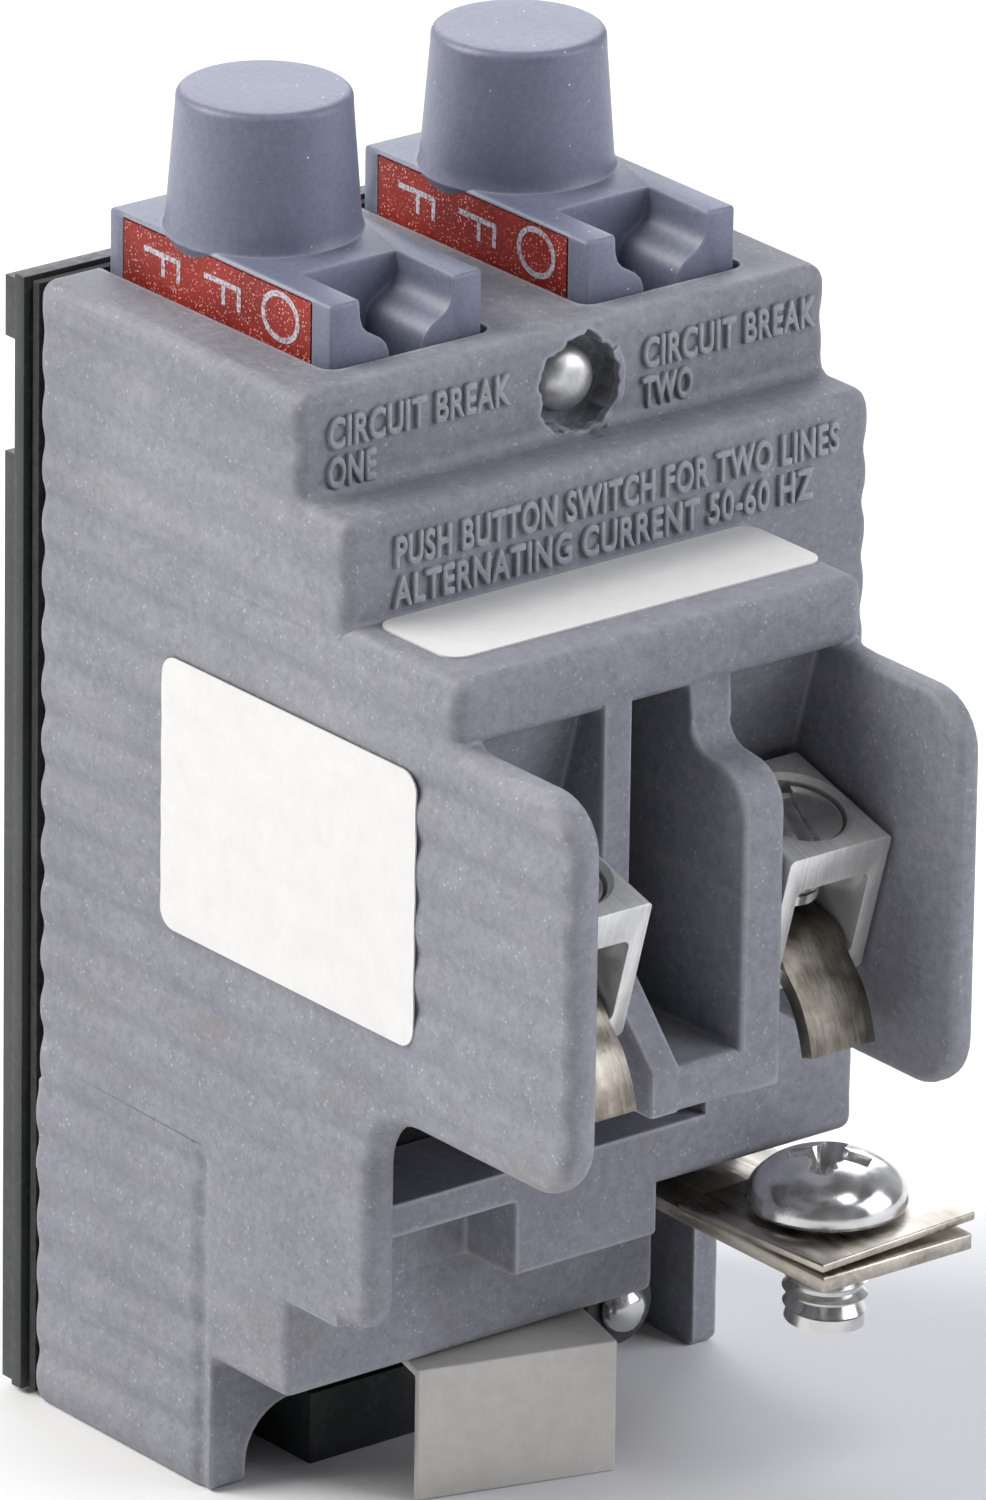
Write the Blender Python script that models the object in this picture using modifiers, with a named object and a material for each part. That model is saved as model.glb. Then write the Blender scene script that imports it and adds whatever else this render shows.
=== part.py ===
"""Twin push-button bolt-on circuit breaker, two circuits in one moulded case.

World frame: +X across the width, -Y towards the front and its terminals, +Z up, against the way
the buttons are pushed.  The origin is on the underside of the rail foot's front land, halfway
across the case.  Sizes below are in millimetres; the helpers turn them into metres.
"""
import math

import bmesh
import bpy
from mathutils import Matrix, Vector

MM = 0.001
FIT = 0.3            # gap left between pieces that touch
RUNNING = 0.08       # radial clearance of a pin in its hole

# Case, measured from the back face forwards and from the underside upwards
CASE_WIDTH = 38.1
WALL = 2.2
BASE_DEPTH = 16.7
LOWER_DEPTH = 24.1
UPPER_DEPTH = 24.5
WALL_DEPTH = 28.75
SKIRT_DEPTH = 31.5
BLOCK_DEPTH = 39.1
FIN_DEPTH = 49.6
BASE_HEIGHT = 8.5
LOWER_HEIGHT = 14.5
TERMINAL_HEADROOM = 17.5
SLOT_BOTTOM = 21.2
FIN_BOTTOM = 28.9
CASE_TOP = 69.6
STEP_TOP = CASE_TOP - 6.3
BLOCK_TOP = STEP_TOP - 6.25
BLOCK_BOTTOM = BLOCK_TOP - 4.15
BLOCK_WIDTH = CASE_WIDTH - 8.8
LEFT_FIN = 2.4
RIGHT_FIN = 1.65
FIN_RADIUS = 3.4
LUG_POCKET = 8.1
RIB = 2.1
BARRIER = 2.9
BARRIER_DEPTH = 43.9
SHELF = 2.8
LOWER_WIDTH = CASE_WIDTH - 11.1
TERMINAL_LEFT = CASE_WIDTH - 14.7
ROOF = 2.2
CAVITY_DEPTH = 22.0
REAR_FOOT_WALL = 3.0

# Push-buttons
BUTTON_PITCH = CASE_WIDTH * 0.48
BUTTON_WIDTH = 10.8
BUTTON_BACK = 0.8
BUTTON_FRONT = 21.5
BUTTON_RISE = 3.6
BUTTON_CLEARANCE = 0.5
CAP_RADIUS = 5.7
CAP_TOP_RADIUS = 5.1
CAP_HEIGHT = 8.3
CAP_DEPTH = 8.2
LEG = 2.05
POCKET_BACK = 16.1
FLAG_HEIGHT = 3.3
FLAG_THICKNESS = 0.3
STEM_RADIUS = 1.5

# Lugs and load straps
LUG_WIDTH = 7.3
LUG_HEIGHT = 9.2
LUG_LENGTH = 8.7
LUG_WALL = 1.2
LUG_SIDE = 1.05
LUG_ROOF = 2.2
LUG_TILT = math.radians(16)
LUG_FRONT = 44.2
LUG_TOP = 43.4
LUG_SCREW_RADIUS = 2.95
STRAP_WIDTH = 4.6
STRAP_THICKNESS = 1.0
STRAP_REACH = 17.3

# Line terminal
TERMINAL_X = CASE_WIDTH / 2 - 6.1
TERMINAL_DEPTH = 33.6
TAB_WIDTH = 11.1
TAB_FRONT = 40.1
TAB_BOTTOM = 13.95
CLAMP_SIDE = 12.1
CLAMP_THICKNESS = 0.5
CLAMP_TURN = math.radians(-4.3)
SCREW_RADIUS = 2.35
HEAD_RADIUS = 4.7
HEAD_HEIGHT = 3.2
SCREW_LENGTH = 7.3

# Mechanism, the same in both poles
PARTITION = 0.9
ARM_PIVOT_DEPTH = 13.0
ARM_PIVOT_HEIGHT = 44.0
ARM_REACH = 18.0
ARM_OPEN = math.radians(12)
ARM_WIDTH = 4.0
ARM_THICKNESS = 2.8
PIN_RADIUS = 0.9
CONTACT_RADIUS = 2.0
CONTACT_THICKNESS = 0.9
CONTACT_HEIGHT = 28.0
FRAME_TOP = CASE_TOP - 12.0
SHEET = 0.8
LATCH_DEPTH = 20.7
LATCH_HEIGHT = CASE_TOP - 13.6

# Rear cover and rivets
LINER = 0.6
COVER = 0.9
PAD = 0.9
RIVET_X = 1.0
RIVET_HEIGHT = CASE_TOP - 3.5
RIVET_RADIUS = 1.2
FOOT_RIVET_X = CASE_WIDTH / 2 - 6.75
FOOT_RIVET_HEIGHT = 3.4

# Positions that follow from the sizes above
LEFT = -CASE_WIDTH / 2
RIGHT = CASE_WIDTH / 2
BLOCK_RIGHT = LEFT + BLOCK_WIDTH
FIN_INNER_LEFT = LEFT + LEFT_FIN
FIN_INNER_RIGHT = BLOCK_RIGHT - RIGHT_FIN
RIB_LEFT = FIN_INNER_LEFT + LUG_POCKET
BARRIER_RIGHT = FIN_INNER_RIGHT - LUG_POCKET + 0.25
CAVITY_SIDE = RIGHT - WALL
CAVITY_TOP = CASE_TOP - ROOF
CAVITY_FLOOR = TAB_BOTTOM - FIT
MID_DEPTH = WALL_DEPTH - 2.45
TAB_TOP = TAB_BOTTOM + STRAP_THICKNESS
ORIGIN_DEPTH = 13.4   # middle of the rail foot's front land
POLES = {"a": -1, "b": 1}
LINER_BACK = -FIT - LINER
COVER_FRONT = LINER_BACK - FIT
COVER_BACK = COVER_FRONT - COVER
MID_TOP = STEP_TOP - 2.2
MID_BOTTOM = FIN_BOTTOM + 2.1


def at(x, depth, height):
    """World point in metres for a place given across, forwards from the back face, and up."""
    return Vector((x, ORIGIN_DEPTH - depth, height)) * MM


def collection(name):
    made = bpy.data.collections.new(name)
    bpy.context.scene.collection.children.link(made)
    return made


for old in list(bpy.data.objects):
    bpy.data.objects.remove(old, do_unlink=True)
PARTS = collection("twin_breaker")
TOOLS = collection("cutters")


def material(name, colour, roughness, metallic=0.0):
    made = bpy.data.materials.new(name)
    made.use_nodes = True
    shader = made.node_tree.nodes["Principled BSDF"]
    shader.inputs["Base Color"].default_value = (*colour, 1.0)
    shader.inputs["Roughness"].default_value = roughness
    shader.inputs["Metallic"].default_value = metallic
    return made


CASE_GREY = material("moulded_grey", (0.27, 0.27, 0.30), 0.6)
BUTTON_GREY = material("button_grey", (0.33, 0.34, 0.40), 0.5)
FLAG_RED = material("flag_red", (0.33, 0.04, 0.03), 0.6)
PHENOLIC = material("black_phenolic", (0.02, 0.02, 0.022), 0.5)
FIBRE = material("grey_fibre", (0.06, 0.06, 0.065), 0.8)
CARD = material("buff_fibre", (0.45, 0.43, 0.40), 0.8)
PAPER = material("label_paper", (0.8, 0.8, 0.78), 0.6)
ALUMINIUM = material("lug_aluminium", (0.72, 0.72, 0.71), 0.4, 1.0)
ZINC = material("zinc_steel", (0.62, 0.60, 0.55), 0.35, 1.0)
TIN = material("tinned_copper", (0.55, 0.53, 0.50), 0.4, 1.0)
COPPER = material("dull_copper", (0.38, 0.33, 0.28), 0.5, 1.0)
SILVER = material("contact_silver", (0.8, 0.8, 0.78), 0.3, 1.0)
STEEL = material("frame_steel", (0.40, 0.40, 0.41), 0.4, 1.0)


def add(name, mesh, finish):
    """A finished mesh, in world metres, as a node; faces meant to be flush are made exactly so."""
    for vertex in mesh.vertices:
        vertex.co = [round(value, 6) for value in vertex.co]
    piece = bpy.data.objects.new(name, mesh)
    mesh.materials.clear()
    mesh.materials.append(finish)
    PARTS.objects.link(piece)
    return piece


def box(name, low, high, finish=None):
    """A block between two corners given as (across, depth, height)."""
    first = at(*low)
    last = at(*high)
    size = [abs(b - a) for a, b in zip(first, last)]
    work = bmesh.new()
    bmesh.ops.create_cube(work, size=1.0)
    bmesh.ops.transform(work, matrix=Matrix.Diagonal((*size, 1.0)), verts=work.verts)
    bmesh.ops.translate(work, vec=(first + last) / 2, verts=work.verts)
    mesh = bpy.data.meshes.new(name)
    work.to_mesh(mesh)
    work.free()
    return add(name, mesh, finish or PHENOLIC)


def rod(name, radius, start, end, finish=None, end_radius=None, segments=32):
    """A cylinder or cone between two points given as (across, depth, height)."""
    first = at(*start)
    last = at(*end)
    along = last - first
    work = bmesh.new()
    bmesh.ops.create_cone(work, cap_ends=True, segments=segments, radius1=radius * MM,
                          radius2=(end_radius or radius) * MM, depth=along.length)
    turn = Vector((0, 0, 1)).rotation_difference(along).to_matrix().to_4x4()
    bmesh.ops.transform(work, matrix=Matrix.Translation((first + last) / 2) @ turn, verts=work.verts)
    mesh = bpy.data.meshes.new(name)
    work.to_mesh(mesh)
    work.free()
    piece = add(name, mesh, finish or STEEL)
    smooth(piece)
    return piece


def rod_forward(name, radius, x, height, back, front, finish=None, end_radius=None):
    """A rod that runs from back to front."""
    return rod(name, radius, (x, back, height), (x, front, height), finish, end_radius)


def rod_across(name, radius, depth, height, low, high, finish=None, segments=32):
    """A rod that runs from left to right."""
    return rod(name, radius, (low, depth, height), (high, depth, height), finish, None, segments)


def smooth(piece):
    piece.data.shade_smooth()
    piece.data.set_sharp_from_angle(angle=math.radians(35))


def curve_to_piece(curve_object, name, finish):
    """Turn a filled or bevelled curve into a welded mesh, and drop the curve."""
    depsgraph = bpy.context.evaluated_depsgraph_get()
    mesh = bpy.data.meshes.new_from_object(curve_object.evaluated_get(depsgraph))
    mesh.transform(curve_object.matrix_world)
    work = bmesh.new()
    work.from_mesh(mesh)
    bmesh.ops.remove_doubles(work, verts=work.verts, dist=1e-6)
    bmesh.ops.recalc_face_normals(work, faces=work.faces)
    work.to_mesh(mesh)
    work.free()
    bpy.data.objects.remove(curve_object, do_unlink=True)
    mesh.name = name
    piece = add(name, mesh, finish)
    smooth(piece)
    return piece


VIEWS = {
    "side": lambda across: Matrix(((0, 0, -1, across * MM), (-1, 0, 0, ORIGIN_DEPTH * MM), (0, 1, 0, 0),
                                   (0, 0, 0, 1))),
    "front": lambda depth: Matrix(((1, 0, 0, 0), (0, 0, -1, (ORIGIN_DEPTH - depth) * MM), (0, 1, 0, 0),
                                   (0, 0, 0, 1))),
    "plan": lambda height: Matrix(((1, 0, 0, 0), (0, -1, 0, ORIGIN_DEPTH * MM), (0, 0, -1, height * MM),
                                   (0, 0, 0, 1))),
}


def slab(name, view, outline, low, high, finish=None):
    """A flat outline given thickness: side (depth, height), front (across, height) or plan."""
    curve = bpy.data.curves.new(name, "CURVE")
    curve.dimensions = "2D"
    curve.fill_mode = "BOTH"
    curve.extrude = abs(high - low) / 2 * MM
    spline = curve.splines.new("POLY")
    spline.points.add(len(outline) - 1)
    for point, (u, v) in zip(spline.points, outline):
        point.co = (u * MM, v * MM, 0, 1)
    spline.use_cyclic_u = True
    holder = bpy.data.objects.new(name, curve)
    PARTS.objects.link(holder)
    holder.matrix_world = VIEWS[view]((low + high) / 2)
    bpy.context.view_layer.update()
    return curve_to_piece(holder, name, finish or PHENOLIC)


def wire(name, points, radius, finish):
    """A round wire along points given as (across, depth, height)."""
    curve = bpy.data.curves.new(name, "CURVE")
    curve.dimensions = "3D"
    curve.bevel_depth = radius * MM
    curve.bevel_resolution = 2
    curve.use_fill_caps = True
    spline = curve.splines.new("POLY")
    spline.points.add(len(points) - 1)
    for point, place in zip(spline.points, points):
        point.co = (*at(*place), 1)
    holder = bpy.data.objects.new(name, curve)
    PARTS.objects.link(holder)
    bpy.context.view_layer.update()
    return curve_to_piece(holder, name, finish)


def arc(centre, radius, start, end, steps=6):
    """Points of a round corner, angles in degrees, anticlockwise when end is larger."""
    turn = math.radians(end - start) / steps
    first = math.radians(start)
    return [(centre[0] + radius * math.cos(first + turn * i),
             centre[1] + radius * math.sin(first + turn * i)) for i in range(steps + 1)]


def rounded(left, right, low, high, radius):
    """Outline of a rectangle with round corners."""
    return (arc((left + radius, low + radius), radius, 180, 270, 4)
            + arc((right - radius, low + radius), radius, 270, 360, 4)
            + arc((right - radius, high - radius), radius, 0, 90, 4)
            + arc((left + radius, high - radius), radius, 90, 180, 4))


def combine(piece, operation, *tools):
    """Cut tools from a piece or join them to it, with live Boolean modifiers."""
    for tool in tools:
        change = piece.modifiers.new(tool.name, "BOOLEAN")
        change.operation = operation
        change.object = tool
        PARTS.objects.unlink(tool)
        TOOLS.objects.link(tool)
        tool.hide_render = True
        tool.display_type = "WIRE"
    return piece


def cut(piece, *tools):
    return combine(piece, "DIFFERENCE", *tools)


def join(piece, *tools):
    return combine(piece, "UNION", *tools)


def set_origin(piece, place):
    """Move a piece's origin to its joint, leaving its shape where it is."""
    pivot = at(*place)
    piece.data.transform(Matrix.Translation(-pivot))
    piece.location = pivot


def turned(piece, place, angle):
    """Turn a piece about the across axis through a place; positive swings its lower end back."""
    pivot = Matrix.Translation(at(*place))
    piece.data.transform(pivot @ Matrix.Rotation(angle, 4, "X") @ pivot.inverted())


def ribbon(name, line, thickness, low, high, finish=None):
    """A flat strip bent along a line of (depth, height) points, low to high across."""
    points = [Vector(point) for point in line]
    sides = {1: [], -1: []}
    for i, point in enumerate(points):
        before = (point - points[i - 1]).normalized() if i else None
        after = (points[i + 1] - point).normalized() if i < len(points) - 1 else None
        along = ((before or after) + (after or before)).normalized()
        normal = Vector((-along.y, along.x))
        lean = normal.dot(Vector((-(before or after).y, (before or after).x)))
        for side in sides:
            sides[side].append(tuple(point + normal * (side * thickness / 2 / lean)))
    return slab(name, "side", sides[1] + sides[-1][::-1], low, high, finish)


# ---------------------------------------------------------------- case

def fin_outline(bottom_back):
    """Side view of a fin, from the block's underside round its nose to its lower back corner."""
    nose = FIN_DEPTH - FIN_RADIUS
    return ([(WALL_DEPTH - 5, BLOCK_BOTTOM + 1.0), (BLOCK_DEPTH, BLOCK_BOTTOM + 1.0),
             (BLOCK_DEPTH + 0.4, BLOCK_BOTTOM)]
            + arc((nose, BLOCK_BOTTOM - FIN_RADIUS), FIN_RADIUS, 90, 0)
            + arc((nose, FIN_BOTTOM + FIN_RADIUS), FIN_RADIUS, 0, -90)
            + bottom_back)


def left_side():
    """Left fin, skirt and base wall in one outline."""
    bay = arc((SKIRT_DEPTH + 3.9, FIN_BOTTOM - 3.9), 3.9, 90, 180, 5)
    lower = [(SKIRT_DEPTH, LOWER_HEIGHT + 0.8),
             (SKIRT_DEPTH - 1.0, LOWER_HEIGHT), (LOWER_DEPTH, LOWER_HEIGHT), (LOWER_DEPTH, BASE_HEIGHT),
             (BASE_DEPTH, BASE_HEIGHT), (BASE_DEPTH, 0), (0, 0), (0, BLOCK_BOTTOM + 1.0)]
    outline = fin_outline(bay + lower)[1:]
    return slab("left_side", "side", outline, LEFT, FIN_INNER_LEFT)


def case_solids():
    """Blocks, ribs and fins that are joined to the main body."""
    back = WALL_DEPTH - 5
    shelf_low = FIN_BOTTOM + 1
    roof = BLOCK_BOTTOM + 1
    rib = [(back, roof), (BLOCK_DEPTH, roof), (BLOCK_DEPTH, FIN_BOTTOM + 9), (BARRIER_DEPTH, shelf_low + SHELF),
           (BARRIER_DEPTH, shelf_low), (back, shelf_low)]
    barrier = [(back, roof), (BLOCK_DEPTH - 0.2, roof), (BLOCK_DEPTH - 0.2, BLOCK_BOTTOM - 2.3),
               (BLOCK_DEPTH + 0.4, BLOCK_BOTTOM - 2.9)]
    barrier += arc((BARRIER_DEPTH - 2.2, BLOCK_BOTTOM - 5.1), 2.2, 90, 0)
    barrier += [(BARRIER_DEPTH, shelf_low), (back, shelf_low)]
    slope = math.tan(LUG_TILT)
    web = [(back, roof), (37.3, roof), (37.3 - 17.7 * slope, roof - 17.7), (back, roof - 17.7)]
    return [
        left_side(),
        box("block", (LEFT, back, BLOCK_BOTTOM), (BLOCK_RIGHT, BLOCK_DEPTH, BLOCK_TOP)),
        slab("right_fin", "side", fin_outline([(back, FIN_BOTTOM)]), FIN_INNER_RIGHT, BLOCK_RIGHT),
        slab("left_rib", "side", rib, RIB_LEFT, RIB_LEFT + RIB),
        slab("barrier", "side", barrier, BARRIER_RIGHT - BARRIER, BARRIER_RIGHT),
        box("shelf", (RIB_LEFT + 0.3, back, shelf_low), (BARRIER_RIGHT, BARRIER_DEPTH, shelf_low + SHELF)),
        slab("left_web", "side", web, LEFT + 0.5, RIB_LEFT + 0.5),
        slab("right_web", "side", web, BARRIER_RIGHT - 0.5, BLOCK_RIGHT - 0.5),
        box("lower_wall", (LEFT, 0, LOWER_HEIGHT),
            (LEFT + TERMINAL_LEFT, WALL_DEPTH, TERMINAL_HEADROOM + 0.5)),
        box("lower_block", (LEFT, 0, BASE_HEIGHT), (LEFT + LOWER_WIDTH, LOWER_DEPTH, LOWER_HEIGHT + 0.5)),
        box("base", (LEFT, 0, 0), (RIGHT, BASE_DEPTH, TERMINAL_HEADROOM + 0.5)),
    ]


def case_cuts():
    """Cavity, button openings, slots, pockets and rivet holes."""
    foot_side = RIGHT - REAR_FOOT_WALL
    arch = ([(-RIGHT + 2.85, -1), (-RIGHT + 2.85, 1.2)]
            + arc((-RIGHT + 6.35, 1.2), 3.5, 180, 90, 5)
            + [(LEFT + LOWER_WIDTH, 4.7), (LEFT + LOWER_WIDTH, -1)])
    middle = BUTTON_PITCH / 2
    side = BUTTON_WIDTH / 2 + BUTTON_CLEARANCE
    cuts = [
        box("cavity", (-CAVITY_SIDE, -1, CAVITY_FLOOR), (CAVITY_SIDE, CAVITY_DEPTH, CAVITY_TOP)),
        box("mid_cavity", (-CAVITY_SIDE, CAVITY_DEPTH - 1, MID_BOTTOM), (CAVITY_SIDE, MID_DEPTH, MID_TOP)),
        box("arc_slot", (FIN_INNER_LEFT, CAVITY_DEPTH - 2, SLOT_BOTTOM),
            (FIN_INNER_RIGHT - 0.85, WALL_DEPTH + 2, FIN_BOTTOM)),
        box("vent", (RIB_LEFT + RIB, MID_DEPTH - 1, FIN_BOTTOM + 1 + SHELF),
            (BARRIER_RIGHT - BARRIER, WALL_DEPTH + 1, BLOCK_BOTTOM)),
        box("notch", (LEFT + 1.9, LOWER_DEPTH, LOWER_HEIGHT - 1),
            (LEFT + 13.0, WALL_DEPTH + 1, LOWER_HEIGHT + 4.7)),
        box("line_slot", (TERMINAL_X - TAB_WIDTH / 2 - FIT - 0.45, 18, TAB_BOTTOM - FIT),
            (TERMINAL_X + TAB_WIDTH / 2 - 0.9, WALL_DEPTH + 2, TAB_TOP + FIT)),
        box("base_pocket", (-foot_side, -1, -1), (foot_side, BASE_DEPTH - 2.5, 6.8)),
        slab("foot_arch", "front", arch, BASE_DEPTH - 4, BASE_DEPTH + 1),
        box("right_hollow", (LEFT + LOWER_WIDTH, 12, -1), (RIGHT - 2.15, BASE_DEPTH + 1, 11.5)),
        rod_forward("counterbore", 3.0, RIVET_X, RIVET_HEIGHT, UPPER_DEPTH - 2.0, UPPER_DEPTH + 1),
        rod_forward("rivet_hole", RIVET_RADIUS + FIT, RIVET_X, RIVET_HEIGHT, -1, UPPER_DEPTH),
    ]
    for pole, sign in POLES.items():
        x = sign * middle
        cuts.append(box("opening_" + pole, (x - side, -1, CAVITY_TOP - 1),
                        (x + side, CAVITY_DEPTH, CASE_TOP + 1)))
        cuts.append(strap_slot(pole))
    return cuts


def lug_centre(pole):
    """Across position of a pole's lug, in the middle of its pocket."""
    if pole == "a":
        return (FIN_INNER_LEFT + RIB_LEFT) / 2
    return (BARRIER_RIGHT + FIN_INNER_RIGHT) / 2


def lug_point(back, down):
    """(depth, height) of a point in the tilted lug, from its top front edge."""
    sine = math.sin(LUG_TILT)
    cosine = math.cos(LUG_TILT)
    return (LUG_FRONT - back * cosine - down * sine, LUG_TOP + back * sine - down * cosine)


STRAP_DOWN = LUG_HEIGHT - LUG_WALL - FIT - STRAP_THICKNESS / 2


def strap_slot(pole):
    middle = lug_centre(pole)
    line = [lug_point(STRAP_REACH - 8.6, STRAP_DOWN), lug_point(STRAP_REACH + 3.4, STRAP_DOWN)]
    half = STRAP_WIDTH / 2 + FIT
    return ribbon("strap_slot_" + pole, line, STRAP_THICKNESS + 2 * FIT, middle - half, middle + half)


def housing():
    low = TERMINAL_HEADROOM
    profile = [(0, low), (0, CASE_TOP), (UPPER_DEPTH, CASE_TOP), (UPPER_DEPTH, STEP_TOP),
               (WALL_DEPTH, STEP_TOP), (WALL_DEPTH, low)]
    body = slab("housing", "side", profile, LEFT, RIGHT, CASE_GREY)
    join(body, *case_solids())
    cut(body, *case_cuts())
    boss = box("rivet_boss", (RIVET_X - 2.2, FIT, RIVET_HEIGHT - 2.4),
               (RIVET_X + 2.2, CAVITY_DEPTH + 0.5, CAVITY_TOP + 0.5))
    join(body, boss)
    cut(body, rod_forward("boss_hole", RIVET_RADIUS + FIT, RIVET_X, RIVET_HEIGHT, -1, CAVITY_DEPTH + 1))
    return body


def rear_holes(name):
    reach = RIVET_RADIUS + FIT
    return [rod_forward(name + "_hole", reach, RIVET_X, RIVET_HEIGHT, -5, 1),
            rod_forward(name + "_foot_hole", reach, FOOT_RIVET_X, FOOT_RIVET_HEIGHT, -5, 1)]


def rear_cover():
    """Fibre liner, then the moulded cover with its two raised pads."""
    edge = RIGHT - 0.4
    liner = box("rear_liner", (-edge, LINER_BACK, 0.4), (edge, -FIT, CASE_TOP - 0.5), FIBRE)
    cut(liner, *rear_holes("liner"))
    cover = box("rear_cover", (LEFT, COVER_BACK, 0.3), (RIGHT, COVER_FRONT, CASE_TOP - 0.3), PHENOLIC)
    back = COVER_BACK - PAD
    front = COVER_FRONT - 0.2
    join(cover, box("upper_pad", (LEFT, back, CASE_TOP - 4.3), (RIGHT, front, CASE_TOP - 0.6)),
         box("lower_pad", (LEFT, back, 0.6), (RIGHT, front, CASE_TOP - 11.3)))
    cut(cover, *rear_holes("cover"))


def rivets():
    tail = COVER_BACK - PAD
    head = UPPER_DEPTH - 2.0 + FIT
    place = (RIVET_X, RIVET_HEIGHT)
    top = rod_forward("case_rivet_upper", RIVET_RADIUS, *place, tail, head + 0.5, ZINC)
    join(top, rod_forward("rivet_dome", 1.85, *place, head, head + 1.2, None, 1.1))
    place = (FOOT_RIVET_X, FOOT_RIVET_HEIGHT)
    foot = rod_forward("case_rivet_foot", RIVET_RADIUS - 0.1, *place, tail, BASE_DEPTH - 0.7, ZINC)
    join(foot, rod_forward("foot_dome", 1.5, *place, BASE_DEPTH - 0.9, BASE_DEPTH, None, 0.9))


def rail_foot():
    """Black moulded foot with the groove that snaps over the panel rail."""
    front = BASE_DEPTH + 0.1
    outline = [(1.0, 0), (5.5, 0), (5.5, 4.2), (10.1, 4.2), (10.1, 0), (front, 0), (front, 4.4),
               (BASE_DEPTH - 2.5 - FIT, 4.4), (BASE_DEPTH - 2.5 - FIT, 6.5), (1.0, 6.5)]
    foot = slab("rail_foot", "side", outline, -11.55, 7.65, PHENOLIC)
    join(foot, box("boss_arm", (7.0, 1.4, 1.6), (FOOT_RIVET_X - 1.6, 11.7, 5.2)),
         rod_forward("foot_boss", 2.4, FOOT_RIVET_X, FOOT_RIVET_HEIGHT, 1.0, BASE_DEPTH - 1.2))
    cut(foot, rod_forward("foot_boss_hole", RIVET_RADIUS + 0.1, FOOT_RIVET_X, FOOT_RIVET_HEIGHT, -1, 17))


def fibre_tab():
    """Bent buff fibre tab: a flange under the lower block and a leaf that stands in front."""
    height = BASE_HEIGHT - FIT
    leaf = box("fibre_tab", (0, LOWER_DEPTH, 0), (12.4, LOWER_DEPTH + 0.6, height), CARD)
    flange = box("tab_flange", (0, LOWER_DEPTH - 5.6, height - 0.6), (12.4, LOWER_DEPTH + 0.3, height))
    turn = Matrix.Translation(at(-9.65, LOWER_DEPTH, 0)) @ Matrix.Rotation(math.radians(-15.6), 4, "Z")
    turn = turn @ Matrix.Translation(-at(0, LOWER_DEPTH, 0))
    for piece in (leaf, flange):
        piece.data.transform(turn)
    join(leaf, flange)


def labels():
    """Two blank paper labels: on the left side, and on the tread in front of the second step."""
    slab("side_label", "side", rounded(12.1, 35.6, 34.0, 50.6, 1.2), LEFT - 0.25, LEFT - 0.1, PAPER)
    tread = rounded(LEFT + 2.0, BLOCK_RIGHT - 0.4, WALL_DEPTH + 0.2, 36.0, 1.2)
    slab("tread_label", "plan", tread, BLOCK_TOP + 0.1, BLOCK_TOP + 0.25, PAPER)


# ---------------------------------------------------------------- line terminal

def on_screw_axis(piece, turn):
    """Turn a piece about the upright line of the line screw."""
    centre = Matrix.Translation(at(TERMINAL_X, TERMINAL_DEPTH, 0))
    piece.data.transform(centre @ Matrix.Rotation(turn, 4, "Z") @ centre.inverted())
    return piece


def screw_bore(name, radius):
    """Cutter for a hole round the line screw."""
    place = (TERMINAL_X, TERMINAL_DEPTH)
    return rod(name, radius, (*place, TAB_BOTTOM - 9), (*place, TAB_TOP + 5))


def line_strap():
    """Tab with its drawn thread collar, the bar behind it and a riser to each fixed contact."""
    left = TERMINAL_X - TAB_WIDTH / 2
    right = TERMINAL_X + TAB_WIDTH / 2
    strap = box("line_strap", (left, 19, TAB_BOTTOM), (right - 1.2, TAB_FRONT, TAB_TOP), TIN)
    join(strap, box("tab_ear", (right - 2, WALL_DEPTH + 0.5, TAB_BOTTOM), (right, TAB_FRONT, TAB_TOP)),
         box("bus_bar", (-BUTTON_PITCH / 2 - 3.8, 17.2, TAB_BOTTOM), (TERMINAL_X + 2, 20.5, TAB_TOP)),
         rod("thread_collar", SCREW_RADIUS + 0.75, (TERMINAL_X, TERMINAL_DEPTH, TAB_BOTTOM - 1.4),
             (TERMINAL_X, TERMINAL_DEPTH, TAB_BOTTOM + 0.4)))
    for sign in POLES.values():
        x = sign * BUTTON_PITCH / 2
        join(strap, box("riser", (x - 3, 17.2, TAB_BOTTOM + 0.2), (x + 3, 18.2, CONTACT_HEIGHT + 3)))
    cut(strap, screw_bore("tapped_hole", SCREW_RADIUS + RUNNING))


def line_clamp():
    """Square clamp plate on the tab, a little askew, and the pan-head screw with its cross slot."""
    low = TAB_TOP + FIT
    side = CLAMP_SIDE / 2
    plate = box("line_clamp_plate", (TERMINAL_X - side, TERMINAL_DEPTH - side, low),
                (TERMINAL_X + side, TERMINAL_DEPTH + side, low + CLAMP_THICKNESS), TIN)
    cut(on_screw_axis(plate, -CLAMP_TURN), screw_bore("clamp_hole", SCREW_RADIUS + FIT))
    seat = low + CLAMP_THICKNESS + FIT
    crown = [(HEAD_RADIUS * math.cos(math.radians(a)), seat + 0.5 + (HEAD_HEIGHT - 0.5) * math.sin(math.radians(a)))
             for a in (80, 60, 40, 20, 0)]
    shank = [(HEAD_RADIUS, seat), (SCREW_RADIUS, seat), (SCREW_RADIUS, seat - SCREW_LENGTH + 0.6),
             (SCREW_RADIUS - 0.6, seat - SCREW_LENGTH)]
    screw = turned_profile("line_screw", crown + shank, (TERMINAL_X, TERMINAL_DEPTH), ZINC)
    top = seat + HEAD_HEIGHT
    for name, turn in (("slot_long", 35), ("slot_cross", 125)):
        blade = box(name, (TERMINAL_X - 2.5, TERMINAL_DEPTH - 0.45, top - 1.9),
                    (TERMINAL_X + 2.5, TERMINAL_DEPTH + 0.45, top + 1))
        cut(screw, on_screw_axis(blade, math.radians(turn)))


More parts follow.
